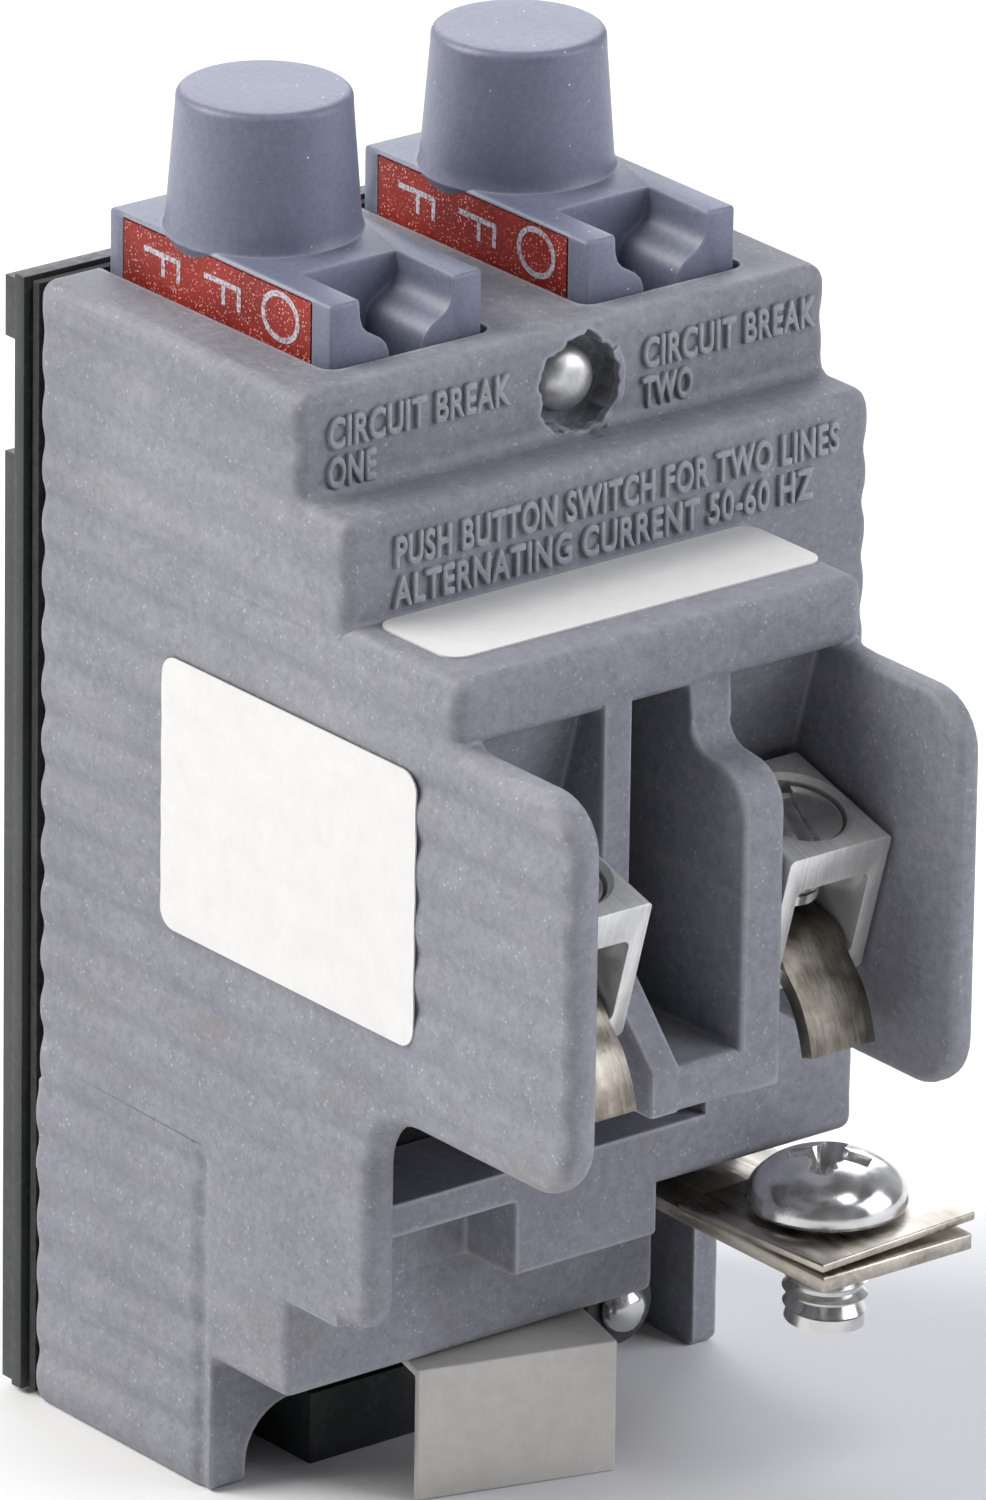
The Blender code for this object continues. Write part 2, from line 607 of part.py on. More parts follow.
def turned_profile(name, profile, axis, finish):
    """A turned solid from (radius, height) points, top to bottom, about an upright axis."""
    work = bmesh.new()
    points = [(0, profile[0][1])] + profile + [(0, profile[-1][1])]
    verts = [work.verts.new((radius * MM, 0, height * MM)) for radius, height in points]
    for first, second in zip(verts, verts[1:]):
        work.edges.new((first, second))
    mesh = bpy.data.meshes.new(name)
    work.to_mesh(mesh)
    work.free()
    piece = add(name, mesh, finish)
    piece.location = at(axis[0], axis[1], 0)
    turn = piece.modifiers.new("turn", "SCREW")
    turn.steps = 32
    turn.render_steps = 32
    turn.use_merge_vertices = True
    turn.merge_threshold = 0.00001
    return piece


# ---------------------------------------------------------------- one pole

def button(pole, x):
    """Block that slides in the case, with its round cap, and the finger pocket at its front."""
    half = BUTTON_WIDTH / 2
    top = CASE_TOP + BUTTON_RISE
    low = CAVITY_TOP - 2.4
    block = box("button_" + pole, (x - half, BUTTON_BACK, low), (x + half, BUTTON_FRONT, top), BUTTON_GREY)
    outer = POLES[pole] * (half - 0.5)
    reach = POLES[pole] * (half + 0.9)
    lip = box("lip_" + pole, (x + outer, 3, low), (x + reach, 18, CAVITY_TOP - FIT))
    crown = top + CAP_HEIGHT
    rim = [(CAP_TOP_RADIUS - 0.7, crown), (CAP_TOP_RADIUS - 0.2, crown - 0.2), (CAP_TOP_RADIUS, crown - 0.7),
           (CAP_RADIUS, top + 0.1), (CAP_RADIUS - 0.5, top - 0.6)]
    cap = turned_profile("cap_" + pole, rim, (x, CAP_DEPTH), BUTTON_GREY)
    stem = rod("stem_" + pole, STEM_RADIUS, (x, CAP_DEPTH, FRAME_TOP - 2.4), (x, CAP_DEPTH, low + 1))
    join(block, lip, cap, stem)
    inner = half - LEG
    pocket = box("pocket_" + pole, (x - inner, POCKET_BACK, CASE_TOP - 1.2),
                 (x + inner, BUTTON_FRONT + 1, top + 1))
    saddle = rod_across("saddle_" + pole, 2.0, BUTTON_FRONT - 2.3, CASE_TOP - 0.6, x - inner - 0.3, x + inner + 0.3)
    cut(block, pocket)
    join(block, saddle)
    recess = box("flag_recess_" + pole, (x - half - 1, 2.1, CASE_TOP - 0.5),
                 (x - half + FLAG_THICKNESS + 0.2, 19.8, CASE_TOP + FLAG_HEIGHT + 0.15))
    cut(block, recess)
    box("off_flag_" + pole, (x - half, 2.25, CASE_TOP - 0.35),
        (x - half + FLAG_THICKNESS, 19.65, CASE_TOP + FLAG_HEIGHT), FLAG_RED)

    radius = STEM_RADIUS + 1.3
    turns = 4
    wire_radius = 0.35
    low_end = FRAME_TOP + FIT + wire_radius
    high_end = low - FIT - wire_radius
    steps = turns * 12
    coil = [(x + radius * math.cos(2 * math.pi * i / 12), CAP_DEPTH + radius * math.sin(2 * math.pi * i / 12),
             low_end + (high_end - low_end) * i / steps) for i in range(steps + 1)]
    wire("return_spring_" + pole, coil, wire_radius, STEEL)


def pole_space(pole):
    """Inner and outer limits across of one pole's room, with a fitting gap to the walls."""
    near = PARTITION / 2 + FIT
    far = CAVITY_SIDE - FIT
    return (-far, -near) if pole == "a" else (near, far)


def mechanism_frame(pole, x):
    """Bent steel bracket that carries the contact arm's pin and seats the button spring."""
    low, high = pole_space(pole)
    cheek_low = FRAME_TOP - SHEET
    frame = box("mechanism_frame_" + pole, (low, 3, cheek_low), (high, 18.5, FRAME_TOP), STEEL)
    bottom = ARM_PIVOT_HEIGHT - 3.5
    back, front = ARM_PIVOT_DEPTH - 4, ARM_PIVOT_DEPTH + 4
    pivot = (ARM_PIVOT_DEPTH, ARM_PIVOT_HEIGHT)
    join(frame, box("cheek_low_" + pole, (low, back, bottom), (low + SHEET, front, cheek_low + 0.3)),
         box("cheek_high_" + pole, (high - SHEET, back, bottom), (high, front, cheek_low + 0.3)))
    cut(frame, rod("stem_hole_" + pole, STEM_RADIUS + FIT, (x, CAP_DEPTH, FRAME_TOP - 5),
                   (x, CAP_DEPTH, FRAME_TOP + 5)),
        rod_across("pin_hole_" + pole, PIN_RADIUS + RUNNING, *pivot, low - 1, high + 1))
    rod_across("pivot_pin_" + pole, PIN_RADIUS, *pivot, low, high, STEEL)


def contact_arm(pole, x):
    """Arm that swings the moving contact; modelled closed, then opened to the tripped rest."""
    half = ARM_WIDTH / 2
    depth, height = ARM_PIVOT_DEPTH, ARM_PIVOT_HEIGHT
    thick = ARM_THICKNESS / 2
    outline = [(depth - thick, height - ARM_REACH), (depth + thick, height - ARM_REACH),
               (depth + thick, height + 7), (depth - thick, height + 7)]
    pivot = (x, depth, height)
    arm = slab("contact_arm_" + pole, "side", outline, x - half, x + half, COPPER)
    hub = rod_across("hub_" + pole, 2.3, depth, height, x - half - 0.6, x + half + 0.6)
    hole = rod_across("hub_hole_" + pole, PIN_RADIUS + RUNNING, depth, height, x - 5, x + 5)
    face = depth + thick + FIT
    size = (CONTACT_RADIUS, x, CONTACT_HEIGHT)
    tip = rod_forward("moving_contact_" + pole, *size, face, face + CONTACT_THICKNESS, SILVER)
    for piece in (arm, tip):
        turned(piece, pivot, ARM_OPEN)
    join(arm, hub)
    cut(arm, hole)
    for piece in (arm, tip):
        set_origin(piece, pivot)
    fixed = 17.2 - FIT
    rod_forward("fixed_contact_" + pole, *size, fixed - CONTACT_THICKNESS, fixed, SILVER)


def arc_chute(pole, x):
    """Steel plates held between two fibre cheeks, under the contacts."""
    low, high = CAVITY_FLOOR + 3.4, CONTACT_HEIGHT - 3.2
    chute = box("arc_chute_" + pole, (x - 5.6, 9.5, low), (x - 4.8, 16.9, high), STEEL)
    join(chute, box("chute_cheek_" + pole, (x + 4.8, 9.5, low), (x + 5.6, 16.9, high)))
    for i in range(4):
        near = 9.9 + 2.1 * i
        join(chute, box("chute_plate_%s%d" % (pole, i), (x - 5.2, near, low + 0.6),
                        (x + 5.2, near + 0.7, high - 0.6)))


def load_terminal(pole, x):
    """Tilted box lug with its set screw, the load strap through it, and the strap's inner end."""
    middle = lug_centre(pole)
    half = LUG_WIDTH / 2
    corners = [lug_point(0, 0), lug_point(LUG_LENGTH, 0), lug_point(LUG_LENGTH, LUG_HEIGHT),
               lug_point(0, LUG_HEIGHT)]
    lug = slab("wire_lug_" + pole, "side", corners, middle - half, middle + half, ALUMINIUM)
    floor = LUG_HEIGHT - LUG_WALL
    mouth = [lug_point(-1, LUG_ROOF), lug_point(LUG_LENGTH + 1, LUG_ROOF), lug_point(LUG_LENGTH + 1, floor),
             lug_point(-1, floor)]
    hole = half - LUG_SIDE
    axis = LUG_LENGTH / 2

    def screw_point(down):
        depth, height = lug_point(axis, down)
        return (middle, depth, height)

    cut(lug, slab("mouth_" + pole, "side", mouth, middle - hole, middle + hole),
        rod("screw_hole_" + pole, LUG_SCREW_RADIUS + RUNNING, screw_point(-2), screw_point(LUG_ROOF + 1.4)))
    screw = rod("lug_screw_" + pole, LUG_SCREW_RADIUS, screw_point(LUG_ROOF), screw_point(-0.3), ZINC)
    join(screw, rod("screw_tip_" + pole, 2.0, screw_point(LUG_ROOF * 2), screw_point(1)))
    blade = ribbon("slot_" + pole, [lug_point(axis, -2), lug_point(axis, 0.9)], 9, middle - 0.5, middle + 0.5)
    cut(screw, blade)
    set_origin(screw, screw_point(0))

    inner = lug_point(STRAP_REACH, STRAP_DOWN)
    line = [(LUG_FRONT, 31.3), (LUG_FRONT - 0.9, 34.6), lug_point(-0.7, STRAP_DOWN), inner,
            (inner[0] - 0.6, inner[1] + 4.4)]
    left, right = middle - STRAP_WIDTH / 2, middle + STRAP_WIDTH / 2
    strap = ribbon("load_strap_" + pole, line, STRAP_THICKNESS, left, right, COPPER)
    join(strap, box("strap_head_" + pole, (min(left, x - 2.3), inner[0] - 1.0, inner[1] + 1.2),
                    (max(right, x + 2.3), inner[0] - 0.1, inner[1] + 4.2)))
    return inner


def thermal_trip(pole, x, inner):
    """Bimetal strip on the strap, magnet yoke round it, and the latch that they let go."""
    face = inner[0] - 1.0 - FIT
    foot = inner[1] + 1.2
    box("bimetal_" + pole, (x - 2.2, face - 0.8, foot), (x + 2.2, face, MID_TOP - 1.2), STEEL)
    bottom, top = foot + 4.2, foot + 11
    back = face + FIT
    yoke = box("magnet_yoke_" + pole, (x - 3.8, back, bottom), (x + 3.8, back + 0.9, top), STEEL)
    join(yoke, box("yoke_left_" + pole, (x - 3.8, face - 1.6, bottom), (x - 2.9, back + 0.2, top)),
         box("yoke_right_" + pole, (x + 2.9, face - 1.6, bottom), (x + 3.8, back + 0.2, top)))
    low, high = pole_space(pole)
    pivot = (x, LATCH_DEPTH, LATCH_HEIGHT)
    line = (LATCH_DEPTH, LATCH_HEIGHT)
    latch = box("trip_latch_" + pole, (x - 3, LATCH_DEPTH - 0.4, LATCH_HEIGHT - 12),
                (x + 3, LATCH_DEPTH + 0.4, LATCH_HEIGHT), STEEL)
    join(latch, rod_across("knuckle_" + pole, 1.4, *line, x - 3, x + 3))
    cut(latch, rod_across("latch_hole_" + pole, 0.6 + RUNNING, *line, x - 5, x + 5))
    set_origin(latch, pivot)
    rod_across("latch_pin_" + pole, 0.6, *line, low, high, STEEL, 16)
    start = Vector((x + 3.6, ARM_PIVOT_DEPTH + 2.4, ARM_PIVOT_HEIGHT + 2.4))
    end = Vector((x + 2.9, face - 0.4, MID_TOP - 2.2))
    from_start = [start + Vector(step) for step in ((1.0, 0.8, 1.0), (1.6, 2.4, 3.2), (1.9, 4.6, 6.0))]
    to_end = [end + Vector(step) for step in ((1.9, -1.2, -4.2), (1.3, -0.3, -1.4))]
    wire("braid_" + pole, [start] + from_start + to_end + [end], 0.6, COPPER)


def vent_screen(pole):
    low, high = pole_space(pole)
    box("vent_screen_" + pole, (low, CAVITY_DEPTH - 1.1, CAVITY_FLOOR + 2.0),
        (high, CAVITY_DEPTH - 0.5, MID_BOTTOM - 0.4), FIBRE)


def partition():
    back = FIT
    front = CAVITY_DEPTH - FIT
    mid = MID_DEPTH - FIT
    low = TAB_TOP + FIT
    high = MID_TOP + 1.8
    outline = [(back, low), (front, low), (front, MID_BOTTOM + FIT), (mid, MID_BOTTOM + FIT),
               (mid, MID_TOP - FIT), (front, MID_TOP - FIT), (front, high), (back, high)]
    slab("pole_partition", "side", outline, -PARTITION / 2, PARTITION / 2, FIBRE)


housing()
rear_cover()
rivets()
rail_foot()
fibre_tab()
labels()
line_strap()
line_clamp()
partition()
for name, side in POLES.items():
    centre = side * BUTTON_PITCH / 2
    button(name, centre)
    mechanism_frame(name, centre)
    contact_arm(name, centre)
    arc_chute(name, centre)
    strap_end = load_terminal(name, centre)
    thermal_trip(name, centre, strap_end)
    vent_screen(name)
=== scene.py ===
import math

import bmesh
import bpy
from mathutils import Matrix, Vector


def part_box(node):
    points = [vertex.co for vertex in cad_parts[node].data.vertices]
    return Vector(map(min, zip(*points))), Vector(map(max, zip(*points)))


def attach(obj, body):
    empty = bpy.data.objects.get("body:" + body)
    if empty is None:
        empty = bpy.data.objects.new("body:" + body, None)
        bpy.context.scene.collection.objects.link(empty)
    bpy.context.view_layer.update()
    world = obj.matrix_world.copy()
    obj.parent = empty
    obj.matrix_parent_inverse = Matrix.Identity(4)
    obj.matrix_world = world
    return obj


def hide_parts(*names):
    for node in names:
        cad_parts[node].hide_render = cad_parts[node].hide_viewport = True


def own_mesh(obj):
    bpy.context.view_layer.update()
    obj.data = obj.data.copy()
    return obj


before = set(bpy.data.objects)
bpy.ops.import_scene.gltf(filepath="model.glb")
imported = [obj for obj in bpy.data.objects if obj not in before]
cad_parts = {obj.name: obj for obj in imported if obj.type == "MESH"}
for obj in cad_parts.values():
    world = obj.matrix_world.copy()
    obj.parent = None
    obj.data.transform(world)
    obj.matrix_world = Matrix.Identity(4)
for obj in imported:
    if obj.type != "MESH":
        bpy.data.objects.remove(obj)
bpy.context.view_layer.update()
scene = bpy.context.scene
case_low, case_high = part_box("housing")

# ------------------------------------------------------------------ studio
# A white product table: the breaker stands on a pale sheet under one big soft light from the
# upper left and weak fills, and is seen with a long lens from the front left, a little above.


def point(x, depth, height):
    """Metres in the frame for millimetres across, forwards from the case's back, and up."""
    return Vector((x / 1000, case_high.y - depth / 1000, height / 1000))


azimuth = math.radians(-38.38)
tilt = math.radians(21.45)
roll = 0.0146
STAND_OFF = 0.9323
look = Vector((-math.sin(azimuth) * math.cos(tilt), math.cos(azimuth) * math.cos(tilt),
               -math.sin(tilt)))
level = Vector((math.cos(azimuth), math.sin(azimuth), 0))
upward = level.cross(look)
across = level * math.cos(roll) + upward * math.sin(roll)
upward = upward * math.cos(roll) - level * math.sin(roll)
aim = point(0, 25, 34) - 0.004003 * across + 0.009619 * upward
lens = bpy.data.cameras.new("studio_camera")
lens.sensor_fit = "VERTICAL"
lens.sensor_height = 36
lens.lens = 391.37
lens.clip_end = 20
camera = bpy.data.objects.new("studio_camera", lens)
axes = Matrix((across, upward, -look)).transposed().to_4x4()
camera.matrix_world = Matrix.Translation(aim - STAND_OFF * look) @ axes
scene.collection.objects.link(camera)
scene.camera = camera
scene.view_settings.view_transform = "Standard"


def colour(code):
    """An sRGB hex value as the linear colour that a shader takes."""
    parts = [int(code[i:i + 2], 16) / 255 for i in (1, 3, 5)]
    return tuple(c / 12.92 if c <= 0.04045 else ((c + 0.055) / 1.055) ** 2.4 for c in parts) + (1.0,)


def lamp(name, place, size, watts, tint="#ffffff"):
    """A square soft light that faces the middle of the breaker."""
    data = bpy.data.lights.new(name, "AREA")
    data.shape = "SQUARE"
    data.size = size
    data.energy = watts
    data.color = colour(tint)[:3]
    made = bpy.data.objects.new(name, data)
    centre = Vector((0, 0, 0.04))
    made.location = Vector(place)
    made.rotation_euler = (centre - made.location).to_track_quat("-Z", "Y").to_euler()
    scene.collection.objects.link(made)


lamp("window", (-0.66, 0.5, 0.78), 0.75, 16.0, "#fffdf9")
lamp("back_screen", (0.62, 0.78, 0.64), 1.0, 7.5, "#f6f8ff")
lamp("top_light", (0.1, -0.45, 0.9), 0.3, 1.6)
lamp("right_fill", (0.7, -0.75, 0.5), 0.8, 8.6, "#f4f6ff")


def plug(node, links):
    """Feed a node's inputs: each a value, a hex colour, an output, or a node for its first output."""
    for name, value in links.items():
        if isinstance(value, str):
            value = colour(value)
        if isinstance(value, bpy.types.Node):
            value = next(output for output in value.outputs if output.enabled)
        if isinstance(value, bpy.types.NodeSocket):
            node.id_data.links.new(value, node.inputs[name])
        else:
            node.inputs[name].default_value = value


def add(tree, kind, links=None, ramp=None, **settings):
    """A node with its settings and links. A kind with no family named is a ShaderNode, and
    Math.ADD is a Math node set to add."""
    kind, _, operation = kind.partition(".")
    made = tree.nodes.new(kind if kind.startswith(("Geometry", "Node")) else "ShaderNode" + kind)
    if operation:
        made.operation = operation
    for name, value in settings.items():
        setattr(made, name, value)
    plug(made, links or {})
    if ramp:
        stops = made.color_ramp.elements
        while len(stops) < len(ramp):
            stops.new(0.5)
        for stop, (place, shade) in zip(stops, ramp):
            stop.position = place
            stop.color = colour(shade) if isinstance(shade, str) else (shade, shade, shade, 1.0)
    return made


def finish(name, roughness, metallic=0.0, **sockets):
    """A new material: its tree, its shader and a texture coordinate node."""
    made = bpy.data.materials.new(name)
    made.use_nodes = True
    shader = made.node_tree.nodes["Principled BSDF"]
    plug(shader, {"Roughness": roughness, "Metallic": metallic})
    plug(shader, {socket.replace("_", " "): value for socket, value in sockets.items()})
    return made, made.node_tree, shader, add(made.node_tree, "TexCoord").outputs["Object"]


def mesh_object(name, work):
    """The finished bmesh as an object of its own."""
    data = bpy.data.meshes.new(name)
    work.to_mesh(data)
    work.free()
    made = bpy.data.objects.new(name, data)
    scene.collection.objects.link(made)
    return made


# The room is light behind the table and dim where the camera stands.
world = bpy.data.worlds.new("studio_room")
world.use_nodes = True
tree = world.node_tree
facing = add(tree, "SeparateXYZ", {0: add(tree, "TexCoord").outputs["Generated"]})
glow = add(tree, "MapRange", {0: facing.outputs["Y"], 1: -0.6, 2: 0.6, 3: 0.13, 4: 0.55},
           interpolation_type="SMOOTHSTEP")
ceiling = add(tree, "MapRange", {0: facing.outputs["Z"], 1: 0.3, 2: 0.8, 3: 1.0, 4: 0.25})
dimmed = add(tree, "Math.MULTIPLY", {0: glow, 1: ceiling})
plug(tree.nodes["Background"], {"Strength": dimmed, "Color": "#f7f8fb"})
scene.world = world

# The table top is matt white card, so the light comes back up under the case.
sheet = bmesh.new()
bmesh.ops.create_grid(sheet, x_segments=1, y_segments=1, size=3.0)
table = mesh_object("table", sheet)
table.location.z = -0.00002
card, tree, shader, place = finish("white_card", 0.9)
back = add(tree, "SeparateXYZ", {0: place}).outputs["Y"]
fade = add(tree, "MapRange", {0: back, 1: -0.06, 2: 0.12}, interpolation_type="SMOOTHSTEP")
tint = add(tree, "ValToRGB", {"Fac": fade}, ramp=[(0.0, "#e6e6e7"), (1.0, "#f0f0f0")])
plug(shader, {"Base Color": tint})
table.data.materials.append(card)

# ------------------------------------------------------------------ moulded case
# One thermoset moulding with a label block, two fins, a rib, a barrier and a shelf round the lugs.
# It is pressed in a hand-finished mould, so its corners are soft and its sides carry low ribs.

LEFT, RIGHT = case_low.x * 1000, case_high.x * 1000
TOP = case_high.z * 1000
BLOCK_RIGHT = LEFT + 29.3
BUTTON_OUT = 9.144
RIVET_X, RIVET_Z = 1.0, 66.1
PER_MM = 1000  # a pattern's scale when it has one cell to the millimetre


def slab(name, outline, low, high, view="side", soft=0.0, steps=3):
    """A plate cut to an outline of (depth, height) points, or (across, height) from the front, or
    (across, depth) from above, or (across, height) about the origin, with its edges rounded."""
    work = bmesh.new()
    corner = {"side": lambda u, v, w: point(w, u, v), "front": lambda u, v, w: point(u, w, v),
              "plan": lambda u, v, w: point(u, v, w),
              "own": lambda u, v, w: Vector((u / 1000, w / 1000, v / 1000))}[view]
    rings = [[work.verts.new(corner(u, v, w)) for u, v in outline] for w in (low, high)]
    work.faces.new(rings[0])
    work.faces.new(rings[1][::-1])
    for i in range(len(outline)):
        j = (i + 1) % len(outline)
        work.faces.new((rings[0][i], rings[1][i], rings[1][j], rings[0][j]))
    bmesh.ops.recalc_face_normals(work, faces=work.faces)
    made = mesh_object(name, work)
    if soft:
        round_over(made, soft, steps)
    return made


def block(name, low, high, soft=0.0, steps=3):
    """A slab between two corners given across, forwards and up."""
    outline = [(low[1], low[2]), (high[1], low[2]), (high[1], high[2]), (low[1], high[2])]
    return slab(name, outline, low[0], high[0], soft=soft, steps=steps)


def coat(piece, material):
    """Give a piece one material and nothing else."""
    piece.data.materials.clear()
    piece.data.materials.append(material)


def settle(piece):
    """Work a piece's modifiers into its mesh."""
    bpy.context.view_layer.update()
    data = bpy.data.meshes.new_from_object(piece.evaluated_get(bpy.context.evaluated_depsgraph_get()))
    piece.modifiers.clear()
    old = piece.data
    piece.data = data
    bpy.data.meshes.remove(old)
    data.name = piece.name
    return piece


def round_over(piece, width, steps=3, angle=28):
    """Round every edge sharper than an angle, as a mould or a tumbling drum leaves it."""
    rounding = piece.modifiers.new("edges", "BEVEL")
    rounding.width = width / 1000
    rounding.segments = steps
    rounding.limit_method = "ANGLE"
    rounding.angle_limit = math.radians(angle)
    rounding.use_clamp_overlap = True
    rounding.miter_outer = "MITER_ARC"
    return settle(piece)


def carve(piece, tools, operation="DIFFERENCE"):
    """Cut pieces out of another, or grow it by them; the tools are used up."""
    for tool in tools:
        change = piece.modifiers.new("cut", "BOOLEAN")
        change.object = tool
        change.operation = operation
        change.solver = "EXACT"
    settle(piece)
    for tool in tools:
        bpy.data.objects.remove(tool, do_unlink=True)
    return piece


def bend(centre, radius, start, end, steps=6):
    """Points along a round corner, angles in degrees."""
    angles = [math.radians(start + (end - start) * i / steps) for i in range(steps + 1)]
    return [(centre[0] + radius * math.cos(a), centre[1] + radius * math.sin(a)) for a in angles]


def barrel(name, radius, start, end, sides=40, end_radius=None):
    """A round bar between two points given across, forwards and up."""
    first, last = point(*start), point(*end)
    work = bmesh.new()
    bmesh.ops.create_cone(work, cap_ends=True, segments=sides, radius1=radius / 1000,
                          radius2=(radius if end_radius is None else end_radius) / 1000,
                          depth=(last - first).length)
    turn = Vector((0, 0, 1)).rotation_difference(last - first).to_matrix().to_4x4()
    bmesh.ops.transform(work, matrix=Matrix.Translation((first + last) / 2) @ turn, verts=work.verts)
    return mesh_object(name, work)


def fin_nose(top):
    """Front of a fin, from its upper edge at the block round to its lower edge."""
    return ([(38.4, top), (38.4, 53.5), (39.3, 53.0), (40.4, 52.9)] + bend((46.2, 49.5), 3.4, 90, 0, 8)
            + bend((46.2, 32.3), 3.4, 0, -90, 8))


bay = bend((35.4, 25.0), 3.9, 90, 180, 8)
skirt = ([(31.5, 17.2)] + bend((29.8, 16.6), 1.7, 0, -75, 4)
         + [(24.1, 14.5), (24.1, 8.5), (16.7, 8.5), (16.7, 0), (0, 0)])
left_wall = slab("left_wall", [(0, 56.2)] + fin_nose(56.2) + bay + skirt, LEFT, LEFT + 2.4, soft=1.05, steps=5)
case = slab("moulded_case", [(0, 17.5), (0, TOP), (24.5, TOP), (24.5, 63.3), (28.75, 63.3), (28.75, 17.5)],
            LEFT, RIGHT, soft=0.85, steps=4)
rib = [(23.7, 53.9), (39.1, 53.9), (39.1, 37.9), (43.9, 32.7), (43.9, 29.9), (23.7, 29.9)]
barrier = ([(23.7, 53.9), (38.9, 53.9), (38.9, 50.9)] + bend((40.6, 50.9), 1.7, 180, 255, 4)
           + bend((41.3, 46.5), 2.6, 78, 0, 6) + [(43.9, 29.9), (23.7, 29.9)])
web = [(23.7, 53.9), (37.3, 53.9), (32.2, 36.2), (23.7, 36.2)]
growths = [
    left_wall,
    block("label_block", (LEFT, 23.7, 52.9), (BLOCK_RIGHT, 39.1, 57.05), 1.0, 4),
    slab("right_fin", [(23.7, 55.5)] + fin_nose(55.5) + [(23.7, 28.9)], 8.6, BLOCK_RIGHT, soft=0.55),
    slab("left_rib", rib, -8.55, -6.45, soft=0.3, steps=2),
    slab("barrier", barrier, -2.15, 0.75, soft=0.75),
    block("shelf", (-8.2, 23.7, 29.9), (0.75, 43.9, 32.7), 0.6),
    slab("left_web", web, -17.0, -8.0, soft=0.2, steps=2),
    slab("right_web", web, 0.2, 9.0, soft=0.2, steps=2),
    block("front_sill", (LEFT, 0, 14.5), (4.35, 28.75, 20.5), 0.35, 2),
    block("lower_block", (LEFT, 0, 8.5), (7.95, 24.1, 15.0), 0.6),
    block("base", (LEFT, 0, 0), (RIGHT, 16.7, 20.5), 0.5),
]
carve(case, growths, "UNION")
arch = [(-16.2, -1), (-16.2, 1.2)] + bend((-12.7, 1.2), 3.5, 180, 90, 8) + [(7.95, 4.7), (7.95, -1)]
cuts = [
    block("works_room", (-16.85, -1, 13.65), (16.85, 22.0, 67.4)),
    block("front_room", (-16.85, 21.0, 31.0), (16.85, 26.3, 61.1)),
    block("arc_slot", (-16.65, 20.0, 21.2), (7.75, 31.0, 28.9)),
    block("vent", (-6.45, 25.3, 32.7), (-2.15, 30.0, 52.9)),
    block("notch", (-17.15, 24.1, 13.5), (-6.05, 30.0, 19.2), 0.3, 2),
    block("strap_slot", (7.0, 18.0, 13.65), (17.6, 31.0, 15.25)),
    block("base_room", (-16.05, -1, -1), (16.05, 14.2, 6.8)),
    slab("foot_arch", arch, 12.7, 17.7, "front"),
    block("right_hollow", (7.95, 12.0, -1), (16.9, 17.7, 11.5)),
    barrel("rivet_way", 1.5, (RIVET_X, -1, RIVET_Z), (RIVET_X, 25, RIVET_Z)),
]
for side in (-1, 1):
    low, high = sorted((side * BUTTON_OUT - 5.9, side * BUTTON_OUT + 5.9))
    way = ([(low, -1), (high, -1)] + bend((high - 1.0, 21.0), 1.0, 0, 90, 5)
           + bend((low + 1.0, 21.0), 1.0, 90, 180, 5))
    cuts.append(slab("button_way", way, 66.0, 71.0, "plan"))


def tongue_line(back, down):
    """(depth, height) of a point in the tilted lug, from its top front edge."""
    return (44.2 - back * math.cos(lean) - down * math.sin(lean),
            43.4 + back * math.sin(lean) - down * math.cos(lean))


lean = math.radians(16)
lug_middle = {"a": (LEFT + 2.4 - 8.55) / 2, "b": (0.75 + 8.6) / 2}
for middle in lug_middle.values():
    way = [tongue_line(*spot) for spot in ((8.7, 6.4), (20.7, 6.4), (20.7, 8.0), (8.7, 8.0))]
    cuts.append(slab("tongue_way", way, middle - 2.6, middle + 2.6))

# The counterbore over the upper rivet was drilled after moulding: its rim is ragged.
rim = []
for i in range(60):
    turn = 2 * math.pi * i / 60
    reach = 2.95 + 0.16 * math.sin(5 * turn + 1) + 0.1 * math.sin(11 * turn) + 0.07 * math.sin(23 * turn + 2)
    rim.append((RIVET_X + reach * math.cos(turn), RIVET_Z + reach * math.sin(turn)))
cuts.append(slab("counterbore", rim, 22.6, 26.0, "front"))
carve(case, cuts)


def slice_faces(piece, levels, axis, chosen):
    """Cut the chosen faces at each level, so that they can follow a pattern."""
    work = bmesh.new()
    work.from_mesh(piece.data)
    for value in levels:
        faces = [face for face in work.faces if chosen(face)]
        edges = {edge for face in faces for edge in face.edges}
        corners = {corner for face in faces for corner in face.verts}
        parts = faces + list(edges) + list(corners)
        spot = Vector((0, 0, 0))
        spot[axis] = value
        normal = Vector((0, 0, 0))
        normal[axis] = 1
        bmesh.ops.bisect_plane(work, geom=parts, dist=1e-7, plane_co=spot, plane_no=normal)
    work.to_mesh(piece.data)
    work.free()


def on_side(face):
    """Whether a face is on one of the case's two ribbed sides."""
    return abs(face.normal.x) > 0.2 and min(abs(v.co.x) for v in face.verts) * 1000 > RIGHT - 0.9


PITCH = 3.32
slice_faces(case, [k * PITCH / 10000 for k in range(1, 210)], 2, on_side)
groove_cuts = [point(0, depth, 0).y for depth in (14.9, 15.3, 15.6, 15.9, 16.2, 16.5, 16.9)]
slice_faces(case, groove_cuts, 1, lambda face: on_side(face) and face.calc_center_median().z < 0.0215)


